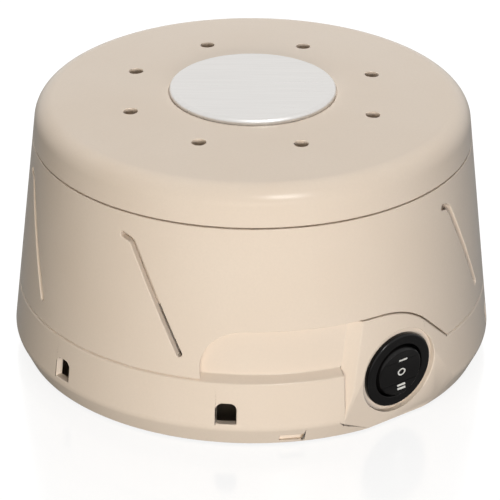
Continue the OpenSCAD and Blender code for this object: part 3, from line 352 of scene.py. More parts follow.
def softened(piece, width, least_angle, segments=2, wanted=None, near=None):
    """Rounds the sharp edges of a piece; vertices that crowd together first become one."""
    bm = bmesh.new()
    bm.from_mesh(piece.data)
    crowded = [v for v in bm.verts if near is None or near(v.co)]
    bmesh.ops.remove_doubles(bm, verts=crowded, dist=min(0.00003, width / 8) if near is None else width / 4)
    bmesh.ops.dissolve_degenerate(bm, dist=1e-6, edges=bm.edges)
    bmesh.ops.dissolve_limit(
        bm, angle_limit=math.radians(0.1), use_dissolve_boundaries=False, verts=bm.verts, edges=bm.edges,
        delimit={"NORMAL"},
    )
    edges = [
        e for e in bm.edges
        if len(e.link_faces) == 2 and e.calc_face_angle(0) > least_angle and (wanted is None or wanted(e))
    ]
    bmesh.ops.bevel(
        bm, geom=edges, offset=width, offset_type="OFFSET", segments=segments, profile=0.5, affect="EDGES",
        clamp_overlap=False, material=-1, loop_slide=True,
    )
    bmesh.ops.remove_doubles(bm, verts=bm.verts, dist=5e-6)
    bm.to_mesh(piece.data)
    bm.free()
    return piece


def smoothed(piece, sharp=math.radians(32)):
    """Smooth shading that keeps the flats flat."""
    for face in piece.data.polygons:
        face.use_smooth = True
    piece.data.set_sharp_from_angle(angle=sharp)
    weigh = piece.modifiers.new("weigh normals", "WEIGHTED_NORMAL")
    weigh.mode = "FACE_AREA"
    weigh.weight = 50
    weigh.keep_sharp = True
    return piece


def rounded_off(piece):
    """Gives the faces that lie on the body's own round surface the exact normals of that surface."""
    smoothed(piece)
    shown = piece.evaluated_get(bpy.context.evaluated_depsgraph_get()).to_mesh()
    normals = [corner.vector.copy() for corner in shown.corner_normals]
    piece.modifiers.clear()
    mesh = piece.data
    exact = {}
    for face in mesh.polygons:
        for i in face.vertices:
            here = body_normal(mesh.vertices[i].co)
            if abs(face.normal.dot(here)) > math.cos(math.radians(4)):
                exact.setdefault(i, here if face.normal.dot(here) > 0 else -here)
    for face in mesh.polygons:
        for k, i in zip(face.loop_indices, face.vertices):
            if i in exact and face.normal.dot(exact[i]) > math.cos(math.radians(32)):
                normals[k] = exact[i]
    mesh.normals_split_custom_set(normals)
    return piece


# ---------------------------------------------------------------- outlines


def side_r(z, inset=0.0):
    s = bpy.context.scene.machine_body
    return s.widest_r - s.edge_r + (s.edge_r - inset - (z - s.edge_z) * math.sin(s.taper)) / math.cos(s.taper)


def crown_z(r, inset=0.0):
    s = bpy.context.scene.machine_body
    return s.height - s.crown_r + math.sqrt((s.crown_r - inset) ** 2 - r * r)


def foot_r(z):
    s = bpy.context.scene.machine_body
    x = s.widest_r - s.edge_r + s.edge_r * math.cos(s.foot_lean)
    y = s.edge_z - s.edge_r * math.sin(s.foot_lean)
    return x - (y - z) * math.tan(s.foot_lean)


def shoulder(s):
    """Centre of the shoulder's arc and the angle at which it meets the crown."""
    z = crown_z(side_r(s.height - s.shoulder_r, s.shoulder_r), s.shoulder_r)
    z = crown_z(side_r(z, s.shoulder_r), s.shoulder_r)
    x = side_r(z, s.shoulder_r)
    return x, z, math.atan2(z - s.height + s.crown_r, x)


def body_normal(place):
    """The outward direction of the body's round surface at a place on it or just inside it."""
    s = bpy.context.scene.machine_body
    r = math.hypot(place.x, place.y)
    x, z, end = shoulder(s)
    up = math.atan2(place.z - z, r - x)
    if place.z > z and up > end:
        up = math.atan2(place.z - s.height + s.crown_r, r)
    elif place.z < s.edge_z + s.edge_r * math.sin(s.taper):
        up = max(-s.foot_lean, min(s.taper, math.atan2(place.z - s.edge_z, r - s.widest_r + s.edge_r)))
    elif place.z < z or up < s.taper:
        up = s.taper
    flat = math.cos(up) / max(r, 1e-6)
    return Vector((place.x * flat, place.y * flat, math.sin(up)))


def dome(inset, low_z, high_r, steps):
    """Half outline from low_z on the side over the shoulder to radius high_r on the top."""
    s = bpy.context.scene.machine_body
    x, z, end = shoulder(s)
    points = [(side_r(low_z, inset), low_z)] + arc(x, z, s.shoulder_r - inset, s.taper, end, steps)
    last = points[-1][0]
    count = 12
    return points + [
        (r, crown_z(r, inset)) for r in (last + (high_r - last) * i / count for i in range(1, count + 1))
    ]


def slot_outline(half, port=False):
    """A slot: a straight run that leans over and, on the collar, bends at its upper end."""
    s = bpy.context.scene.machine_slots
    lean = math.atan2(s.bend_z - s.low_z, s.bend_u - s.low_u)
    right = math.pi / 2
    lower = arc(s.low_u, s.low_z, half, lean + right, lean + 3 * right, 12)
    if port:
        u = s.low_u + (s.port_top_z - s.low_z) / math.tan(lean)
        return lower + arc(u, s.port_top_z, half, lean - right, lean + right, 12)
    x = s.bend_u - s.bend_r * math.sin(lean)
    y = s.bend_z + s.bend_r * math.cos(lean)
    way = lean + s.bend_angle
    tail_x = x + s.bend_r * math.sin(way) + s.tail * math.cos(way)
    tail_y = y - s.bend_r * math.cos(way) + s.tail * math.sin(way)
    return (
        lower + arc(x, y, s.bend_r + half, lean - right, way - right, 8)
        + arc(tail_x, tail_y, half, way - right, way + right, 12)
        + arc(x, y, s.bend_r - half, way - right, lean - right, 8)
    )


def cut_out(gap=0.0):
    """The collar's cut-out, or the block that fills its right part when a gap is given."""
    s = bpy.context.scene.machine_cut_out
    low_z = bpy.context.scene.machine_body.collar_seam_z - 0.002
    start = math.pi / 2 - s.right_fall
    radius = s.right_r - gap
    centre = s.top_z - s.right_r
    low_u = s.right_u + radius * math.cos(start) + (centre + radius * math.sin(start) - low_z) / math.tan(s.right_fall)
    return (
        [(low_u, -0.005), (low_u, low_z)]
        + arc(s.right_u, centre, radius, start, math.pi / 2, 14)
        + arc(s.left_r - s.left, s.top_z - s.left_r, s.left_r - gap, math.pi / 2, math.pi, 20)
        + [(gap - s.left, -0.005)]
    )


def round_places(first, skip, count=8):
    return [first - i * math.tau / count for i in range(count) if i not in skip]


def way(az, up):
    """The direction at an azimuth, counted to the right from the front, and an elevation."""
    return Vector((math.sin(az) * math.cos(up), -math.cos(az) * math.cos(up), math.sin(up)))


def at_side(az, r, z=0.0):
    """The place at an azimuth, a distance from the axis and a height, turned to face outwards."""
    return Matrix.Rotation(az, 4, "Z") @ Matrix.Translation((0, -r, z))


def at_switch():
    """The switch's own place: X to the right, Y up and Z out of its flat."""
    s = bpy.context.scene.machine_switch
    return at_side(s.az, s.face_r, s.z) @ Matrix.Rotation(math.pi / 2 + s.lean, 4, "X")


# ---------------------------------------------------------------- finishes


class Finish:
    """Builds one material's nodes, from left to right."""

    def __init__(self, name, colour, roughness, metallic=0.0):
        self.material = bpy.data.materials.new(name)
        self.material.use_nodes = True
        self.nodes = self.material.node_tree.nodes
        self.links = self.material.node_tree.links
        self.surface = self.nodes["Principled BSDF"]
        self.surface.inputs["Base Color"].default_value = (*colour, 1)
        self.surface.inputs["Roughness"].default_value = roughness
        self.surface.inputs["Metallic"].default_value = metallic
        self.colour = colour
        self.bump = None
        self.place = self.nodes.new("ShaderNodeTexCoord").outputs["Object"]

    def set(self, **sockets):
        for name, value in sockets.items():
            self.surface.inputs[name.replace("_", " ")].default_value = value
        return self

    def noise(self, scale, detail=3.0, stretch=(1, 1, 1), turn=(0, 0, 0)):
        mapping = self.nodes.new("ShaderNodeMapping")
        mapping.inputs["Scale"].default_value = stretch
        mapping.inputs["Rotation"].default_value = turn
        texture = self.nodes.new("ShaderNodeTexNoise")
        texture.inputs["Scale"].default_value = scale
        texture.inputs["Detail"].default_value = detail
        self.links.new(self.place, mapping.inputs["Vector"])
        self.links.new(mapping.outputs["Vector"], texture.inputs["Vector"])
        return texture.outputs["Fac"]

    def bands(self, scale, axis, distortion=0.0):
        texture = self.nodes.new("ShaderNodeTexWave")
        texture.wave_type = "BANDS"
        texture.bands_direction = axis
        texture.inputs["Scale"].default_value = scale
        texture.inputs["Distortion"].default_value = distortion
        self.links.new(self.place, texture.inputs["Vector"])
        return texture.outputs["Fac"]

    def spread(self, value, low, high, from_low=0.3, from_high=0.7):
        node = self.nodes.new("ShaderNodeMapRange")
        node.inputs["From Min"].default_value = from_low
        node.inputs["From Max"].default_value = from_high
        node.inputs["To Min"].default_value = low
        node.inputs["To Max"].default_value = high
        self.links.new(value, node.inputs["Value"])
        return node.outputs["Result"]

    def tint(self, value, other, amount=1.0):
        """Mixes the colour so far towards another where the value is high."""
        node = self.nodes.new("ShaderNodeMix")
        node.data_type = "RGBA"
        target = self.surface.inputs["Base Color"]
        if target.is_linked:
            self.links.new(target.links[0].from_socket, node.inputs[6])
        else:
            node.inputs[6].default_value = target.default_value
        node.inputs[7].default_value = (*other, 1)
        self.links.new(self.spread(value, 0, amount), node.inputs[0])
        self.links.new(node.outputs[2], target)
        return self

    def rough(self, value, low, high):
        self.links.new(self.spread(value, low, high), self.surface.inputs["Roughness"])
        return self

    def relief(self, value, depth, strength=1.0):
        node = self.nodes.new("ShaderNodeBump")
        node.inputs["Distance"].default_value = depth
        node.inputs["Strength"].default_value = strength
        self.links.new(value, node.inputs["Height"])
        if self.bump:
            self.links.new(self.bump, node.inputs["Normal"])
        self.bump = node.outputs["Normal"]
        self.links.new(self.bump, self.surface.inputs["Normal"])
        return self


def scaled(colour, factor):
    return [min(1.0, part * factor) for part in colour]


def shell_finish():
    c = bpy.context.scene.machine_colours
    finish = Finish("satin beige moulding", c.shell, 0.2)
    finish.set(IOR=1.5, Specular_IOR_Level=0.2)
    finish.tint(finish.noise(38, 2), c.shell_warm)
    finish.tint(finish.noise(1500, 2), scaled(c.shell, 0.93), 0.35)
    finish.rough(finish.noise(30, 2), 0.2, 0.25)
    finish.relief(finish.noise(1900, 2), 0.00001, 0.35)
    finish.relief(finish.noise(60, 1), 0.00006, 0.3)
    return finish.material


def inner_finish():
    c = bpy.context.scene.machine_colours
    finish = Finish("matt beige inside", scaled(c.shell, 0.94), 0.55)
    finish.tint(finish.noise(300, 3), scaled(c.shell, 0.8), 0.5)
    finish.relief(finish.noise(2500, 2), 0.00002, 0.5)
    return finish.material


def badge_finish():
    c = bpy.context.scene.machine_colours
    finish = Finish("fine brushed badge", c.badge, 0.3, 1.0)
    lines = finish.noise(1500, 4, (0.03, 1, 1))
    finish.tint(lines, scaled(c.badge, 0.93), 0.8)
    finish.rough(finish.noise(700, 3, (0.05, 1, 1)), 0.27, 0.36)
    finish.relief(finish.noise(2200, 3, (0.02, 1, 1)), 0.000006, 0.4)
    return finish.material


def gloss_black():
    c = bpy.context.scene.machine_colours
    finish = Finish("gloss black plastic", c.black, 0.15)
    finish.set(IOR=1.5, Specular_IOR_Level=0.25)
    finish.rough(finish.noise(500, 3), 0.12, 0.2)
    finish.tint(finish.noise(120, 2), scaled(c.black, 1.5), 0.6)
    finish.relief(finish.noise(1800, 2), 0.000008, 0.4)
    return finish.material


def mark_finish():
    c = bpy.context.scene.machine_colours
    finish = Finish("white switch marks", c.mark, 0.45)
    finish.tint(finish.noise(2500, 2), scaled(c.mark, 0.85), 0.6)
    finish.relief(finish.noise(4000, 2), 0.00001, 0.4)
    return finish.material


def plain_plastic(name, tone, roughness=0.45, grain=1800):
    finish = Finish(name, tone, roughness)
    finish.tint(finish.noise(180, 3), scaled(tone, 0.8), 0.6)
    finish.rough(finish.noise(420, 3), roughness - 0.07, roughness + 0.08)
    finish.relief(finish.noise(grain, 2), 0.00002, 0.4)
    return finish.material


def rubber_finish():
    finish = Finish("matt black rubber", (0.016, 0.016, 0.017), 0.7)
    finish.tint(finish.noise(400, 4), (0.035, 0.034, 0.033), 0.7)
    finish.rough(finish.noise(700, 3), 0.6, 0.82)
    finish.relief(finish.noise(2200, 3), 0.00004, 0.6)
    return finish.material


def plated_steel():
    finish = Finish("zinc plated steel", (0.56, 0.57, 0.6), 0.3, 1.0)
    finish.tint(finish.noise(500, 3), (0.42, 0.43, 0.44), 0.7)
    finish.rough(finish.noise(900, 3), 0.24, 0.42)
    finish.relief(finish.noise(2600, 2), 0.00001, 0.5)
    return finish.material


def pressed_steel():
    finish = Finish("pressed steel", (0.5, 0.51, 0.52), 0.36, 1.0)
    finish.tint(finish.noise(240, 4, (1, 0.15, 1)), (0.36, 0.36, 0.37), 0.7)
    finish.rough(finish.noise(600, 3, (1, 0.2, 1)), 0.3, 0.48)
    finish.relief(finish.noise(1700, 3, (1, 0.1, 1)), 0.000015, 0.5)
    return finish.material


def ground_steel():
    finish = Finish("ground steel shaft", (0.62, 0.63, 0.64), 0.18, 1.0)
    finish.rough(finish.noise(1500, 3, (1, 1, 0.1)), 0.12, 0.26)
    finish.relief(finish.bands(900, "Z", 1.0), 0.000004, 0.5)
    return finish.material


def lamination_finish():
    finish = Finish("stacked laminations", (0.2, 0.2, 0.21), 0.5, 0.8)
    sheets = finish.bands(314, "Z", 0.4)
    finish.tint(sheets, (0.32, 0.31, 0.3), 0.8)
    finish.tint(finish.noise(220, 4), (0.2, 0.13, 0.09), 0.25)
    finish.rough(finish.noise(600, 3), 0.42, 0.62)
    finish.relief(sheets, 0.00005, 0.6)
    return finish.material


def winding_finish():
    finish = Finish("enamelled copper wire", (0.42, 0.15, 0.05), 0.28, 0.85)
    turns = finish.bands(850, "X", 0.3)
    finish.tint(turns, (0.62, 0.27, 0.1), 0.9)
    finish.rough(finish.noise(700, 3), 0.22, 0.38)
    finish.relief(turns, 0.0001, 0.8)
    return finish.material


def bare_metal(name, tone, roughness):
    finish = Finish(name, tone, roughness, 1.0)
    finish.tint(finish.noise(350, 4), scaled(tone, 0.7), 0.7)
    finish.rough(finish.noise(800, 3), roughness - 0.06, roughness + 0.1)
    finish.relief(finish.noise(2400, 2), 0.00001, 0.4)
    return finish.material


def seen_by(nodes, links, shares, rest=0.0):
    """Adds up strengths that hold only for some kinds of ray."""
    path = nodes.new("ShaderNodeLightPath")
    total = None
    for kind, share in shares:
        step = nodes.new("ShaderNodeMath")
        step.operation = "MULTIPLY_ADD"
        step.inputs[1].default_value = share
        step.inputs[2].default_value = rest
        links.new(path.outputs[kind], step.inputs[0])
        if total:
            links.new(total, step.inputs[2])
        total = step.outputs[0]
    return total


def floor_finish():
    """A floor that looks white, keeps its shadows and throws little light back up."""
    c = bpy.context.scene.machine_colours
    finish = Finish("pale studio floor", c.floor, 0.14)
    finish.rough(finish.noise(14, 3), 0.12, 0.17)
    shown = seen_by(finish.nodes, finish.links, (("Is Camera Ray", 0.86), ("Is Glossy Ray", 0.12), ("Is Transmission Ray", 0.86)))
    finish.surface.inputs["Emission Color"].default_value = (1, 1, 1, 1)
    finish.links.new(shown, finish.surface.inputs["Emission Strength"])
    return finish.material


# ---------------------------------------------------------------- operators


class MACHINE_OT_stage(Operator):
    """Pale floor, room light, softbox and the camera"""

    bl_idname = "machine.stage"
    bl_label = "Stage"

    def execute(self, context):
        scene = context.scene
        light = scene.machine_light
        bm = bmesh.new()
        bmesh.ops.create_grid(bm, x_segments=1, y_segments=1, size=3)
        floor = new_piece(bm, "studio_floor")
        floor.data.materials.append(floor_finish())
        self.room(scene, light)
        self.lamps(scene, light)
        self.camera(scene)
        scene.view_settings.view_transform = "Standard"
        return {"FINISHED"}

    def room(self, scene, light):
        """A dim room whose walls look white to the camera and in reflections."""
        world = bpy.data.worlds.new("pale room")
        scene.world = world
        world.use_nodes = True
        nodes, links = world.node_tree.nodes, world.node_tree.links
        background = nodes["Background"]
        background.inputs["Color"].default_value = (1.0, 0.995, 0.985, 1)
        shown = seen_by(nodes, links, (("Is Camera Ray", 1.0), ("Is Glossy Ray", 1.0), ("Is Transmission Ray", 1.0)), light.room)
        links.new(shown, background.inputs["Strength"])

    def lamps(self, scene, light):
        """Two panels in front, one above and behind, and the softbox that draws the highlight on the shoulder."""
        spread = light.fill_spread
        for name, az, up, power, distance, size in (
            ("left fill", light.fill_az - spread, light.fill_up, light.fill_power / 2, light.distance, (0.55, 0.36)),
            ("right fill", light.fill_az + spread, light.fill_up, light.fill_power / 2, light.distance, (0.55, 0.36)),
            ("top panel", light.top_az, light.top_up, light.top_power, light.distance, (1.0, 1.0)),
            ("softbox", light.softbox_az, light.softbox_up, light.softbox_power, 1.0, (0.24, 0.3)),
        ):
            data = bpy.data.lights.new(name, "AREA")
            data.shape = "RECTANGLE"
            data.size, data.size_y = size
            data.energy = power
            data.color = light.fill_warm if name == "left fill" else light.fill_cool if name == "right fill" else (1, 0.99, 0.97)
            lamp = bpy.data.objects.new(name, data)
            scene.collection.objects.link(lamp)
            outwards = way(az, up)
            lamp.location = Vector((0, 0, 0.045)) + outwards * distance
            lamp.rotation_euler = (-outwards).to_track_quat("-Z", "Y").to_euler()
            lamp.visible_camera = False
            lamp.visible_glossy = name == "softbox"
            lamp.visible_diffuse = name != "softbox"

    def camera(self, scene):
        data = bpy.data.cameras.new("camera")
        data.sensor_width = 36
        data.lens = 225.75
        data.shift_x = -0.0036
        data.clip_start = 0.01
        camera = bpy.data.objects.new("camera", data)
        scene.collection.objects.link(camera)
        place, aim = Vector((0, -0.86266, 0.46468)), Vector((0, 0, 0.02854))
        look = (aim - place).to_track_quat("-Z", "Y").to_matrix()
        camera.location = place
        camera.rotation_euler = (look @ Matrix.Rotation(0.006, 3, "Z")).to_euler()
        scene.camera = camera


class MACHINE_OT_cap(Operator):
    """Domed cap with its ring of holes, the badge's seat, the hub and the stop peg"""

    bl_idname = "machine.cap"
    bl_label = "Cap"

    def execute(self, context):
        body, s = context.scene.machine_body, context.scene.machine_cap
        edge = body.soft_edge
        low_z = body.cap_seam_z + body.seam / 2
        middle = body.height + s.badge_top - s.badge_t
        seat = body.height - s.seat_d
        hub_z = crown_z(0, body.wall) - s.hub_drop
        seat_r = s.badge_r + s.badge_gap
        ring_r = s.badge_r - s.skirt_w - s.badge_gap
        inside = list(reversed(dome(body.wall, low_z, s.hub_r, 12)))
        outside = dome(0, low_z, seat_r, 24)
        corners = (
            [(s.bore_r, hub_z, edge / 2), (s.hub_r, hub_z, edge)]
            + [(r, z, 0) for r, z in inside[:-1]]
            + [(*inside[-1], edge), (*outside[0], edge)]
            + [(r, z, 0) for r, z in outside[1:-1]]
            + [
                (*outside[-1], 0.00015), (seat_r, seat, 0), (ring_r, seat, 0), (ring_r, middle, 0),
                (s.pocket_r, middle, 0), (s.pocket_r, middle - s.pocket_d, 0), (s.bore_r, middle - s.pocket_d, 0),
            ]
        )
        cap = new_piece(turned(rounded(corners), 288), "domed_cap")
        peg_az = math.pi / 2 - s.hole_az
        peg = rod(
            s.peg_r, crown_z(s.peg_ring_r, body.wall + body.turn_gap + body.inner_wall) - 0.0003,
            crown_z(s.peg_ring_r, body.wall / 2), at_side(peg_az, s.peg_ring_r), 48,
        )
        combined(cap, peg, "UNION")
        combined(cap, joined([self.hole(s, az) for az in round_places(s.hole_az, [], s.holes)]), "DIFFERENCE")
        rounded_off(cap)
        cap.data.materials.append(shell_finish())
        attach(cap, "cap")
        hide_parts("cap")
        return {"FINISHED"}

    def hole(self, s, az):
        """The cutter for one hole: a pin that widens in two steps at the cap's surface."""
        top, edge, r = crown_z(s.hole_ring_r), s.hole_edge, s.hole_r
        pin = turned([
            (0, top - 0.01), (r, top - 0.01), (r, top - edge), (r + 0.3 * edge, top - 0.4 * edge),
            (r + edge, top), (r + 2.5 * edge, top + 0.6 * edge), (r + 2.5 * edge, top + 0.004), (0, top + 0.004),
        ], 64)
        tilt = Matrix.Rotation(math.asin(s.hole_ring_r / bpy.context.scene.machine_body.crown_r), 4, "X")
        centre = Matrix.Translation((0, 0, top))
        bmesh.ops.transform(pin, matrix=at_side(az, s.hole_ring_r) @ centre @ tilt @ centre.inverted(), verts=pin.verts)
        return pin


class MACHINE_OT_badge(Operator):
    """Bare disc badge with a rounded edge and fine brushed lines"""

    bl_idname = "machine.badge"
    bl_label = "Badge"

    def execute(self, context):
        body, s = context.scene.machine_body, context.scene.machine_cap
        top = body.height + s.badge_top
        edge = s.badge_edge
        low = body.height - s.seat_d + 0.00002
        ring_r = s.badge_r - s.skirt_w
        profile = (
            [(0, top - s.badge_t), (ring_r, top - s.badge_t), (ring_r, low), (s.badge_r, low)]
            + arc(s.badge_r - edge, top - edge, edge, 0, math.pi / 2, 10)
            + [(s.badge_r - edge - 0.0004, top - 0.00005), (s.badge_r - edge - 0.0008, top - 0.00005)]
            + [(r * 0.001, top - 0.00005) for r in (20, 15, 10, 5, 2)]
            + [(0, top - 0.00005)]
        )
        badge = new_piece(turned(profile, 192), "bare_badge")
        smoothed(badge)
        badge.data.materials.append(badge_finish())
        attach(badge, "cap")
        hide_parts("badge")
        return {"FINISHED"}


class MACHINE_OT_collar(Operator):
    """Turning collar with its slanted slots and the cut-out"""

    bl_idname = "machine.collar"
    bl_label = "Collar"

    def execute(self, context):
        body, s = context.scene.machine_body, context.scene.machine_slots
        low_z = body.collar_seam_z + body.seam / 2
        top_z = body.cap_seam_z - body.seam / 2
        edge = body.soft_edge
        wall_out = body.wall + body.turn_gap
        profile = rounded([
            (side_r(low_z), low_z, edge), (side_r(top_z), top_z, edge),
            (side_r(top_z, body.wall), top_z, edge / 2),
            (side_r(low_z, body.wall), low_z + body.ledge_rise * body.wall / wall_out, edge / 2),
        ])
        collar = new_piece(turned(profile, 360, 0.1), "turning_collar")
        slots = joined([prism(slot_outline(s.width / 2), az) for az in round_places(s.first_az, [7], s.places)])
        combined(collar, slots, "DIFFERENCE")
        combined(collar, prism(cut_out(), context.scene.machine_cut_out.middle_az), "DIFFERENCE")
        softened(collar, 0.0003, math.radians(38), 3, self.across)
        rounded_off(collar)
        collar.data.materials.append(shell_finish())
        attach(collar, "collar")
        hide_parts("collar")
        return {"FINISHED"}

    def across(self, edge):
        """Leaves out the long upright edges between the side's own facets."""
        low, high = sorted((v.co for v in edge.verts), key=lambda place: place.z)
        turn = abs(math.atan2(low.x, -low.y) - math.atan2(high.x, -high.y))
        return turn > 0.0005 or high.z - low.z < 0.004


class MACHINE_OT_base(Operator):
    """Base shell: band with windows, ledge, recessed wall with ports, and the block that carries the switch"""

    bl_idname = "machine.base"
    bl_label = "Base shell"

    def execute(self, context):
        """Everything is drawn turned so that the block's left edge lies at the front, and turned back at the end."""
        body, s = context.scene.machine_body, context.scene.machine_slots
        cut, switch = context.scene.machine_cut_out, context.scene.machine_switch
        turn = Matrix.Rotation(-cut.flank_az, 4, "Z")
        there = turn @ at_switch()
        back = -switch.recess_d - switch.panel
        ring, wall = self.ring_outline(body)
        shell = new_piece(turned(self.band_outline(body), 360, 0.5), "base_band")
        combined(shell, self.backing(body, cut, switch), "UNION")
        combined(shell, self.ring(ring, cut), "DIFFERENCE")
        combined(shell, self.flank(body, cut, wall), "DIFFERENCE")
        combined(shell, block((-0.045, -0.045, 0), (0.045, 0.045, 0.012), there), "DIFFERENCE")
        combined(shell, rod(switch.recess_r, -switch.recess_d, 0.012, there, 128), "DIFFERENCE")
        combined(shell, rod(switch.recess_r + 0.0001, back - 0.024, back, there), "DIFFERENCE")
        combined(shell, rod(switch.barrel_r + 0.0002, back - 0.012, 0.008, there), "DIFFERENCE")
        places = [(self.window(s), s.window_az, [4, 7]), (slot_outline(s.port_width / 2, port=True), s.first_az, [7])]
        cuts = [
            prism(outline, az - cut.flank_az)
            for outline, first, skip in places for az in round_places(first, skip, s.places)
        ]
        combined(shell, joined(cuts), "DIFFERENCE")
        notch = [(-0.00365, 0.0016), (0.00365, 0.0016), (0.00365, 0.0038), (-0.00365, 0.0038)]
        notch_az = math.radians(9.7) - cut.flank_az
        combined(shell, prism(notch, notch_az, foot_r(body.rim_z) - 0.0006), "DIFFERENCE")
        inlet = turn @ at_side(math.radians(174.4), 0, 0.012) @ Matrix.Rotation(math.pi / 2, 4, "X")
        combined(shell, rod(0.0053, 0.05, 0.09, inlet, 64), "DIFFERENCE")
        combined(shell, rod(0.0065, side_r(0.012, 0.0012), 0.09, inlet, 64), "DIFFERENCE")
        self.soften_block(shell, body, cut, there)
        softened(shell, 0.0003, math.radians(48), 2, lambda e: self.outside(e, body, cut))
        shell.data.transform(turn.inverted())
        rounded_off(shell)
        shell.data.materials.append(shell_finish())
        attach(shell, "base")
        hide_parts("base_shell")
        return {"FINISHED"}

    def band_outline(self, body):
        """The band and, above it, a wall as thick as the block stands out."""
        wall_in = body.wall + body.turn_gap + body.inner_wall
        ledge_z = body.collar_seam_z - body.seam / 2
        rim_r = foot_r(body.rim_z)
        edge = arc(body.widest_r - body.edge_r, body.edge_z, body.edge_r, -body.foot_lean, body.taper, 10)
        return rounded(
            [(rim_r, body.rim_z, 0.0005)]
            + [(r, z, 0) for r, z in edge]
            + [
                (side_r(body.join_z), body.join_z, 0), (side_r(body.join_z, wall_in), body.join_z, 0),
                (side_r(ledge_z, wall_in), ledge_z, 0),
                (side_r(ledge_z - body.inner_wall, body.wall), ledge_z - body.inner_wall, 0),
                (side_r(body.edge_z, body.wall), body.edge_z, 0),
                (rim_r - body.rim_w, body.rim_z + 0.0032, 0), (rim_r - body.rim_w, body.rim_z, body.soft_edge),
            ]
        )

    def ring_outline(self, body):
        """What is cut away above the ledge, and the part of it that lies on the recessed wall."""
        inset = body.wall + body.turn_gap
        ledge_z = body.collar_seam_z - body.seam / 2
        crease_z = ledge_z + body.ledge_rise
        crease_r, top = side_r(crease_z, inset), body.join_z + 0.004
        slope = body.ledge_rise / (side_r(ledge_z) - crease_r)
        far = side_r(ledge_z) + 0.004
        outline = rounded([
            (far, top, 0), (far, ledge_z - 0.004 * slope, 0), (crease_r, crease_z, 0.0007),
            (side_r(top, inset), top, 0),
        ])
        return outline, outline[-2:]

    def ring(self, outline, cut):
        """The ring above the ledge, with room for the block to the right of its left edge."""
        ring = new_piece(turned(outline, 360, 0.5), "ring")
        kept = new_piece(prism(cut_out(cut.gap), cut.middle_az - cut.flank_az), "kept")
        combined(kept, block((0, -0.1, -0.01), (0.09, 0, 0.06)), "INTERSECT")
        combined(ring, loosened(kept), "DIFFERENCE")
        return loosened(ring)

    def backing(self, body, cut, switch):
        """Material behind the block, inside its surface all round."""
        back_r = switch.face_r - switch.recess_d - switch.panel - switch.recess_r * math.sin(switch.lean) - 0.0002
        low, high = body.rim_z + 0.0034, cut.top_z + 0.0015
        outline = [
            (back_r, low), (foot_r(low) - 0.0008, low), (side_r(0.0085, 0.0008), 0.0085),
            (side_r(high, 0.0008), high), (back_r, high),
        ]
        piece = new_piece(turned(outline, 360, 0.5), "backing")
        side = block((0.0011, -0.1, -0.01), (0.1, 0.01, 0.06))
        combined(piece, side, "INTERSECT")
        other = block((-0.1, -0.2, -0.01), (0, 0.1, 0.06), Matrix.Rotation(math.radians(39.3), 4, "Z"))
        combined(piece, other, "INTERSECT")
        return loosened(piece)

    def flank(self, body, cut, wall):
        """The wedge cut from the left of the block, as far in as the recessed wall."""
        crease_z = body.collar_seam_z - body.seam / 2 + body.ledge_rise
        inset = body.wall + body.turn_gap
        deep = 0.012
        bm = bmesh.new()
        corners = [(0, 0), (0, -deep), (deep / math.tan(cut.flank_slope), -deep)]
        face = bm.faces.new([bm.verts.new((x, y, -crease_z)) for x, y in corners])
        grown = bmesh.ops.extrude_face_region(bm, geom=[face])
        moved = [v for v in grown["geom"] if isinstance(v, bmesh.types.BMVert)]
        bmesh.ops.translate(bm, verts=moved, vec=(0, 0, cut.top_z + 0.003))
        bmesh.ops.recalc_face_normals(bm, faces=bm.faces)
        place = (
            Matrix.Translation((0, -side_r(crease_z, inset), crease_z))
            @ Matrix.Rotation(-body.taper - cut.flank_tilt, 4, "X")
        )
        bmesh.ops.transform(bm, matrix=place, verts=bm.verts)
        wedge = new_piece(bm, "wedge")
        low = -0.004
        (low_r, low_z), (high_r, high_z) = wall
        core = turned([(0.03, low), (side_r(low, inset), low), (low_r, low_z), (high_r, high_z), (0.03, high_z)], 360, 0.5)
        combined(wedge, core, "DIFFERENCE")
        return loosened(wedge)

    def window(self, s):
        half = s.window_w / 2
        return (
            [(half, s.window_low_z)]
            + arc(half - s.window_r, s.window_top_z - s.window_r, s.window_r, 0, math.pi / 2, 8)
            + arc(s.window_r - half, s.window_top_z - s.window_r, s.window_r, math.pi / 2, math.pi, 8)
            + [(-half, s.window_low_z)]
        )

    def soften_block(self, shell, body, cut, there):
        """Rounds the outer edges of the block and of the ledge."""
        ledge_z = body.collar_seam_z - body.seam / 2
        inset = body.wall + body.turn_gap
        inwards = there.inverted()

        def wanted(edge):
            if not edge.is_convex:
                return False
            middle = (edge.verts[0].co + edge.verts[1].co) / 2
            r = math.hypot(middle.x, middle.y)
            az = math.atan2(middle.x, -middle.y)
            if abs(middle.z - ledge_z) < 0.0001 and abs(r - side_r(ledge_z)) < 0.0001:
                return True
            if not (-0.001 < az < math.radians(39) and 0.0045 < middle.z < cut.top_z + 0.001):
                return False
            from_switch = inwards @ middle
            if math.hypot(from_switch.x, from_switch.y) < 0.012:
                return False
            return r > side_r(max(middle.z, body.edge_z), inset) + 0.00002

        def near(place):
            az = math.atan2(place.x, -place.y)
            r = math.hypot(place.x, place.y)
            if not (-0.01 < az < math.radians(41) and 0.004 < place.z < cut.top_z + 0.001):
                return False
            return r > side_r(max(place.z, body.edge_z), inset) + 0.00002

        softened(shell, cut.soft_edge, math.radians(28), 3, wanted, near)

    def outside(self, edge, body, cut):
        """Edges of the windows, ports and notch, clear of the block."""
        middle = (edge.verts[0].co + edge.verts[1].co) / 2
        r = math.hypot(middle.x, middle.y)
        az = math.atan2(middle.x, -middle.y)
        if math.radians(-2) < az < math.radians(40) and middle.z > 0.006:
            return False
        return r > side_r(max(middle.z, body.edge_z), body.wall + body.turn_gap) - 0.0004 and middle.z > 0.0012


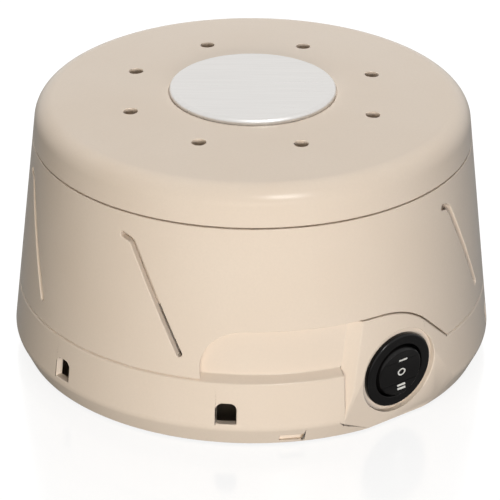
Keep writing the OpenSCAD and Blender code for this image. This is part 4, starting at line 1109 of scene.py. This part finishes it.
class MACHINE_OT_switch(Operator):
    """Black switch body, its rocker and the white marks on the rocker"""

    bl_idname = "machine.switch"
    bl_label = "Switch"

    def execute(self, context):
        s = context.scene.machine_switch
        there = at_switch()
        black = gloss_black()
        self.body(s, there, black)
        self.rocker(s, there, black)
        self.marks(s, there)
        return {"FINISHED"}

    def body(self, s, there, black):
        seat, top = -s.recess_d + 0.00002, -s.recess_d + s.rim_h
        bottom = -s.recess_d - s.barrel_l
        well = s.rocker_r + s.rocker_gap
        profile = rounded([
            (0, bottom, 0), (s.barrel_r, bottom, 0.0004), (s.barrel_r, seat, 0), (s.rim_r, seat, 0.0002),
            (s.rim_r, top, 0.0007), (well, top, 0.00035), (well, bottom + 0.002, 0), (0, bottom + 0.002, 0),
        ])
        bm = turned(profile, 144)
        bmesh.ops.transform(bm, matrix=there, verts=bm.verts)
        body = new_piece(bm, "switch_housing")
        half = well + s.pin_l
        across = there @ Matrix.Translation((0, 0, -s.pivot_d)) @ Matrix.Rotation(math.pi / 2, 4, "Y")
        combined(body, rod(s.pin_r + 0.00005, -half, half, across, 48), "DIFFERENCE")
        smoothed(body)
        body.data.materials.append(black)
        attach(body, "base")
        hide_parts("switch_body")

    def rocker(self, s, there, black):
        bm = bmesh.new()
        bmesh.ops.create_uvsphere(
            bm, u_segments=128, v_segments=64, radius=s.rocker_r, matrix=Matrix.Translation((0, 0, -s.pivot_d)))
        rocker = new_piece(bm, "rocker_face")
        dish = Matrix.Translation((0, 0, s.dish_mid + s.dish_r)) @ Matrix.Rotation(math.pi / 2, 4, "Y")
        combined(rocker, rod(s.dish_r, -0.01, 0.01, dish, 720), "DIFFERENCE")
        low = -s.pivot_d - s.back
        combined(rocker, block((-0.01, -0.01, low - 0.01), (0.01, 0.01, low)), "DIFFERENCE")
        softened(rocker, 0.00035, math.radians(25), 4)
        reach = s.rocker_r + s.rocker_gap + s.pin_l - 0.0001
        across = Matrix.Translation((0, 0, -s.pivot_d)) @ Matrix.Rotation(math.pi / 2, 4, "Y")
        combined(rocker, rod(s.pin_r, -reach, reach, across, 48), "UNION")
        rocker.data.transform(there)
        smoothed(rocker)
        rocker.data.materials.append(black)
        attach(rocker, "rocker")
        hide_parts("switch_rocker")

    def marks(self, s, there):
        """A bar, a ring and two bars, printed across the rocker."""
        wide, tall = 0.0031, 0.00062
        shapes = [self.bar(0.004, wide, tall), self.ring(-0.0003, 0.00145, 0.0005)]
        shapes += [self.bar(-0.0046, wide, tall), self.bar(-0.0057, wide, tall)]
        bm = joined(shapes)
        rise = s.dish_mid + s.dish_r
        for v in bm.verts:
            v.co.x += 0.0005
            v.co.z += rise - math.sqrt(s.dish_r ** 2 - v.co.y ** 2)
        bmesh.ops.transform(bm, matrix=there, verts=bm.verts)
        marks = new_piece(bm, "switch_marks")
        smoothed(marks)
        marks.data.materials.append(mark_finish())
        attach(marks, "rocker")

    def bar(self, v, wide, tall):
        return self.print_of([(x, y + v) for x, y in rounded([
            (-wide / 2, -tall / 2, 0.00015), (wide / 2, -tall / 2, 0.00015),
            (wide / 2, tall / 2, 0.00015), (-wide / 2, tall / 2, 0.00015)], 4)])

    def print_of(self, outline):
        """A film 0.03 mm proud of the face and 0.03 mm in it."""
        bm = bmesh.new()
        face = bm.faces.new([bm.verts.new((x, y, -0.00003)) for x, y in outline])
        grown = bmesh.ops.extrude_face_region(bm, geom=[face])
        moved = [p for p in grown["geom"] if isinstance(p, bmesh.types.BMVert)]
        bmesh.ops.translate(bm, verts=moved, vec=(0, 0, 0.00006))
        bmesh.ops.recalc_face_normals(bm, faces=bm.faces)
        return bm

    def ring(self, v, radius, width):
        bm = turned([
            (radius - width, -0.00003), (radius, -0.00003), (radius, 0.00003), (radius - width, 0.00003)], 48)
        bmesh.ops.scale(bm, vec=(1, 0.82, 1), verts=bm.verts)
        bmesh.ops.translate(bm, vec=(0, v, 0), verts=bm.verts)
        return bm


class MACHINE_OT_finishes(Operator):
    """Finishes for the pieces that keep their own shape"""

    bl_idname = "machine.finishes"
    bl_label = "Inner pieces and fasteners"

    def execute(self, context):
        steel, pressed, rubber = plated_steel(), pressed_steel(), rubber_finish()
        inner, sheets = inner_finish(), lamination_finish()
        bronze = bare_metal("sintered bronze", (0.45, 0.27, 0.12), 0.42)
        leads = {
            "supply_lead": (0.1, 0.035, 0.015), "low_speed_lead": (0.42, 0.02, 0.015),
            "capacitor_lead": (0.62, 0.62, 0.6), "high_speed_lead": (0.08, 0.08, 0.085),
            "return_lead": (0.03, 0.09, 0.32),
        }
        chosen = {
            "base_plate": shell_finish(), "acoustic_housing": inner,
            "feet": rubber, "mount_grommets": rubber, "cord_grommet": rubber,
            "base_screws": steel, "housing_screws": steel, "cap_screw": steel, "cap_washer": steel,
            "mount_screws": steel, "motor_bolts": steel, "fan_clip": steel,
            "switch_terminals": bare_metal("brass tabs", (0.62, 0.43, 0.16), 0.3),
            "stator_core": sheets, "rotor_core": sheets,
            "shading_rings": bare_metal("bare copper", (0.6, 0.25, 0.12), 0.3),
            "bobbin": plain_plastic("natural nylon", (0.68, 0.64, 0.52), 0.5),
            "winding": winding_finish(),
            "lower_bracket": pressed, "upper_bracket": pressed,
            "lower_bush": bronze, "upper_bush": bronze,
            "thrust_disc": plain_plastic("hard fibre", (0.09, 0.035, 0.015), 0.6),
            "rotor_shaft": ground_steel(),
            "fan": plain_plastic("dark grey fan", (0.03, 0.03, 0.033), 0.42),
            "terminal_block": plain_plastic("white block", (0.7, 0.69, 0.65), 0.4),
            "speed_capacitor": plain_plastic("yellow case", (0.55, 0.36, 0.03), 0.3),
        }
        for name, tone in leads.items():
            chosen[name] = plain_plastic(name.replace("_", " ") + " insulation", tone, 0.42)
        for name, material in chosen.items():
            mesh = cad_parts[name].data
            mesh.materials.clear()
            mesh.materials.append(material)
        return {"FINISHED"}


class MACHINE_PT_panel(Panel):
    """Lists the pieces in the sidebar"""

    bl_idname = "MACHINE_PT_panel"
    bl_label = "Sound machine"
    bl_space_type = "VIEW_3D"
    bl_region_type = "UI"
    bl_category = "Sound machine"

    def draw(self, context):
        for operator in PIECES:
            self.layout.operator(operator.bl_idname)


GROUPS = {
    "machine_body": MachineBodySizes,
    "machine_slots": MachineSlotSizes,
    "machine_cut_out": MachineCutOutSizes,
    "machine_cap": MachineCapSizes,
    "machine_switch": MachineSwitchSizes,
    "machine_colours": MachineColours,
    "machine_light": MachineLight,
}
PIECES = (
    MACHINE_OT_stage, MACHINE_OT_cap, MACHINE_OT_badge, MACHINE_OT_collar, MACHINE_OT_base, MACHINE_OT_switch,
    MACHINE_OT_finishes,
)


def register():
    for name, group in GROUPS.items():
        bpy.utils.register_class(group)
        setattr(bpy.types.Scene, name, PointerProperty(type=group))
    for operator in PIECES:
        bpy.utils.register_class(operator)
    bpy.utils.register_class(MACHINE_PT_panel)


def unregister():
    bpy.utils.unregister_class(MACHINE_PT_panel)
    for operator in reversed(PIECES):
        bpy.utils.unregister_class(operator)
    for name, group in reversed(GROUPS.items()):
        delattr(bpy.types.Scene, name)
        bpy.utils.unregister_class(group)


def main():
    register()
    bpy.ops.machine.stage()
    bpy.ops.machine.cap()
    bpy.ops.machine.badge()
    bpy.ops.machine.collar()
    bpy.ops.machine.base()
    bpy.ops.machine.switch()
    bpy.ops.machine.finishes()


if __name__ == "__main__":
    main()
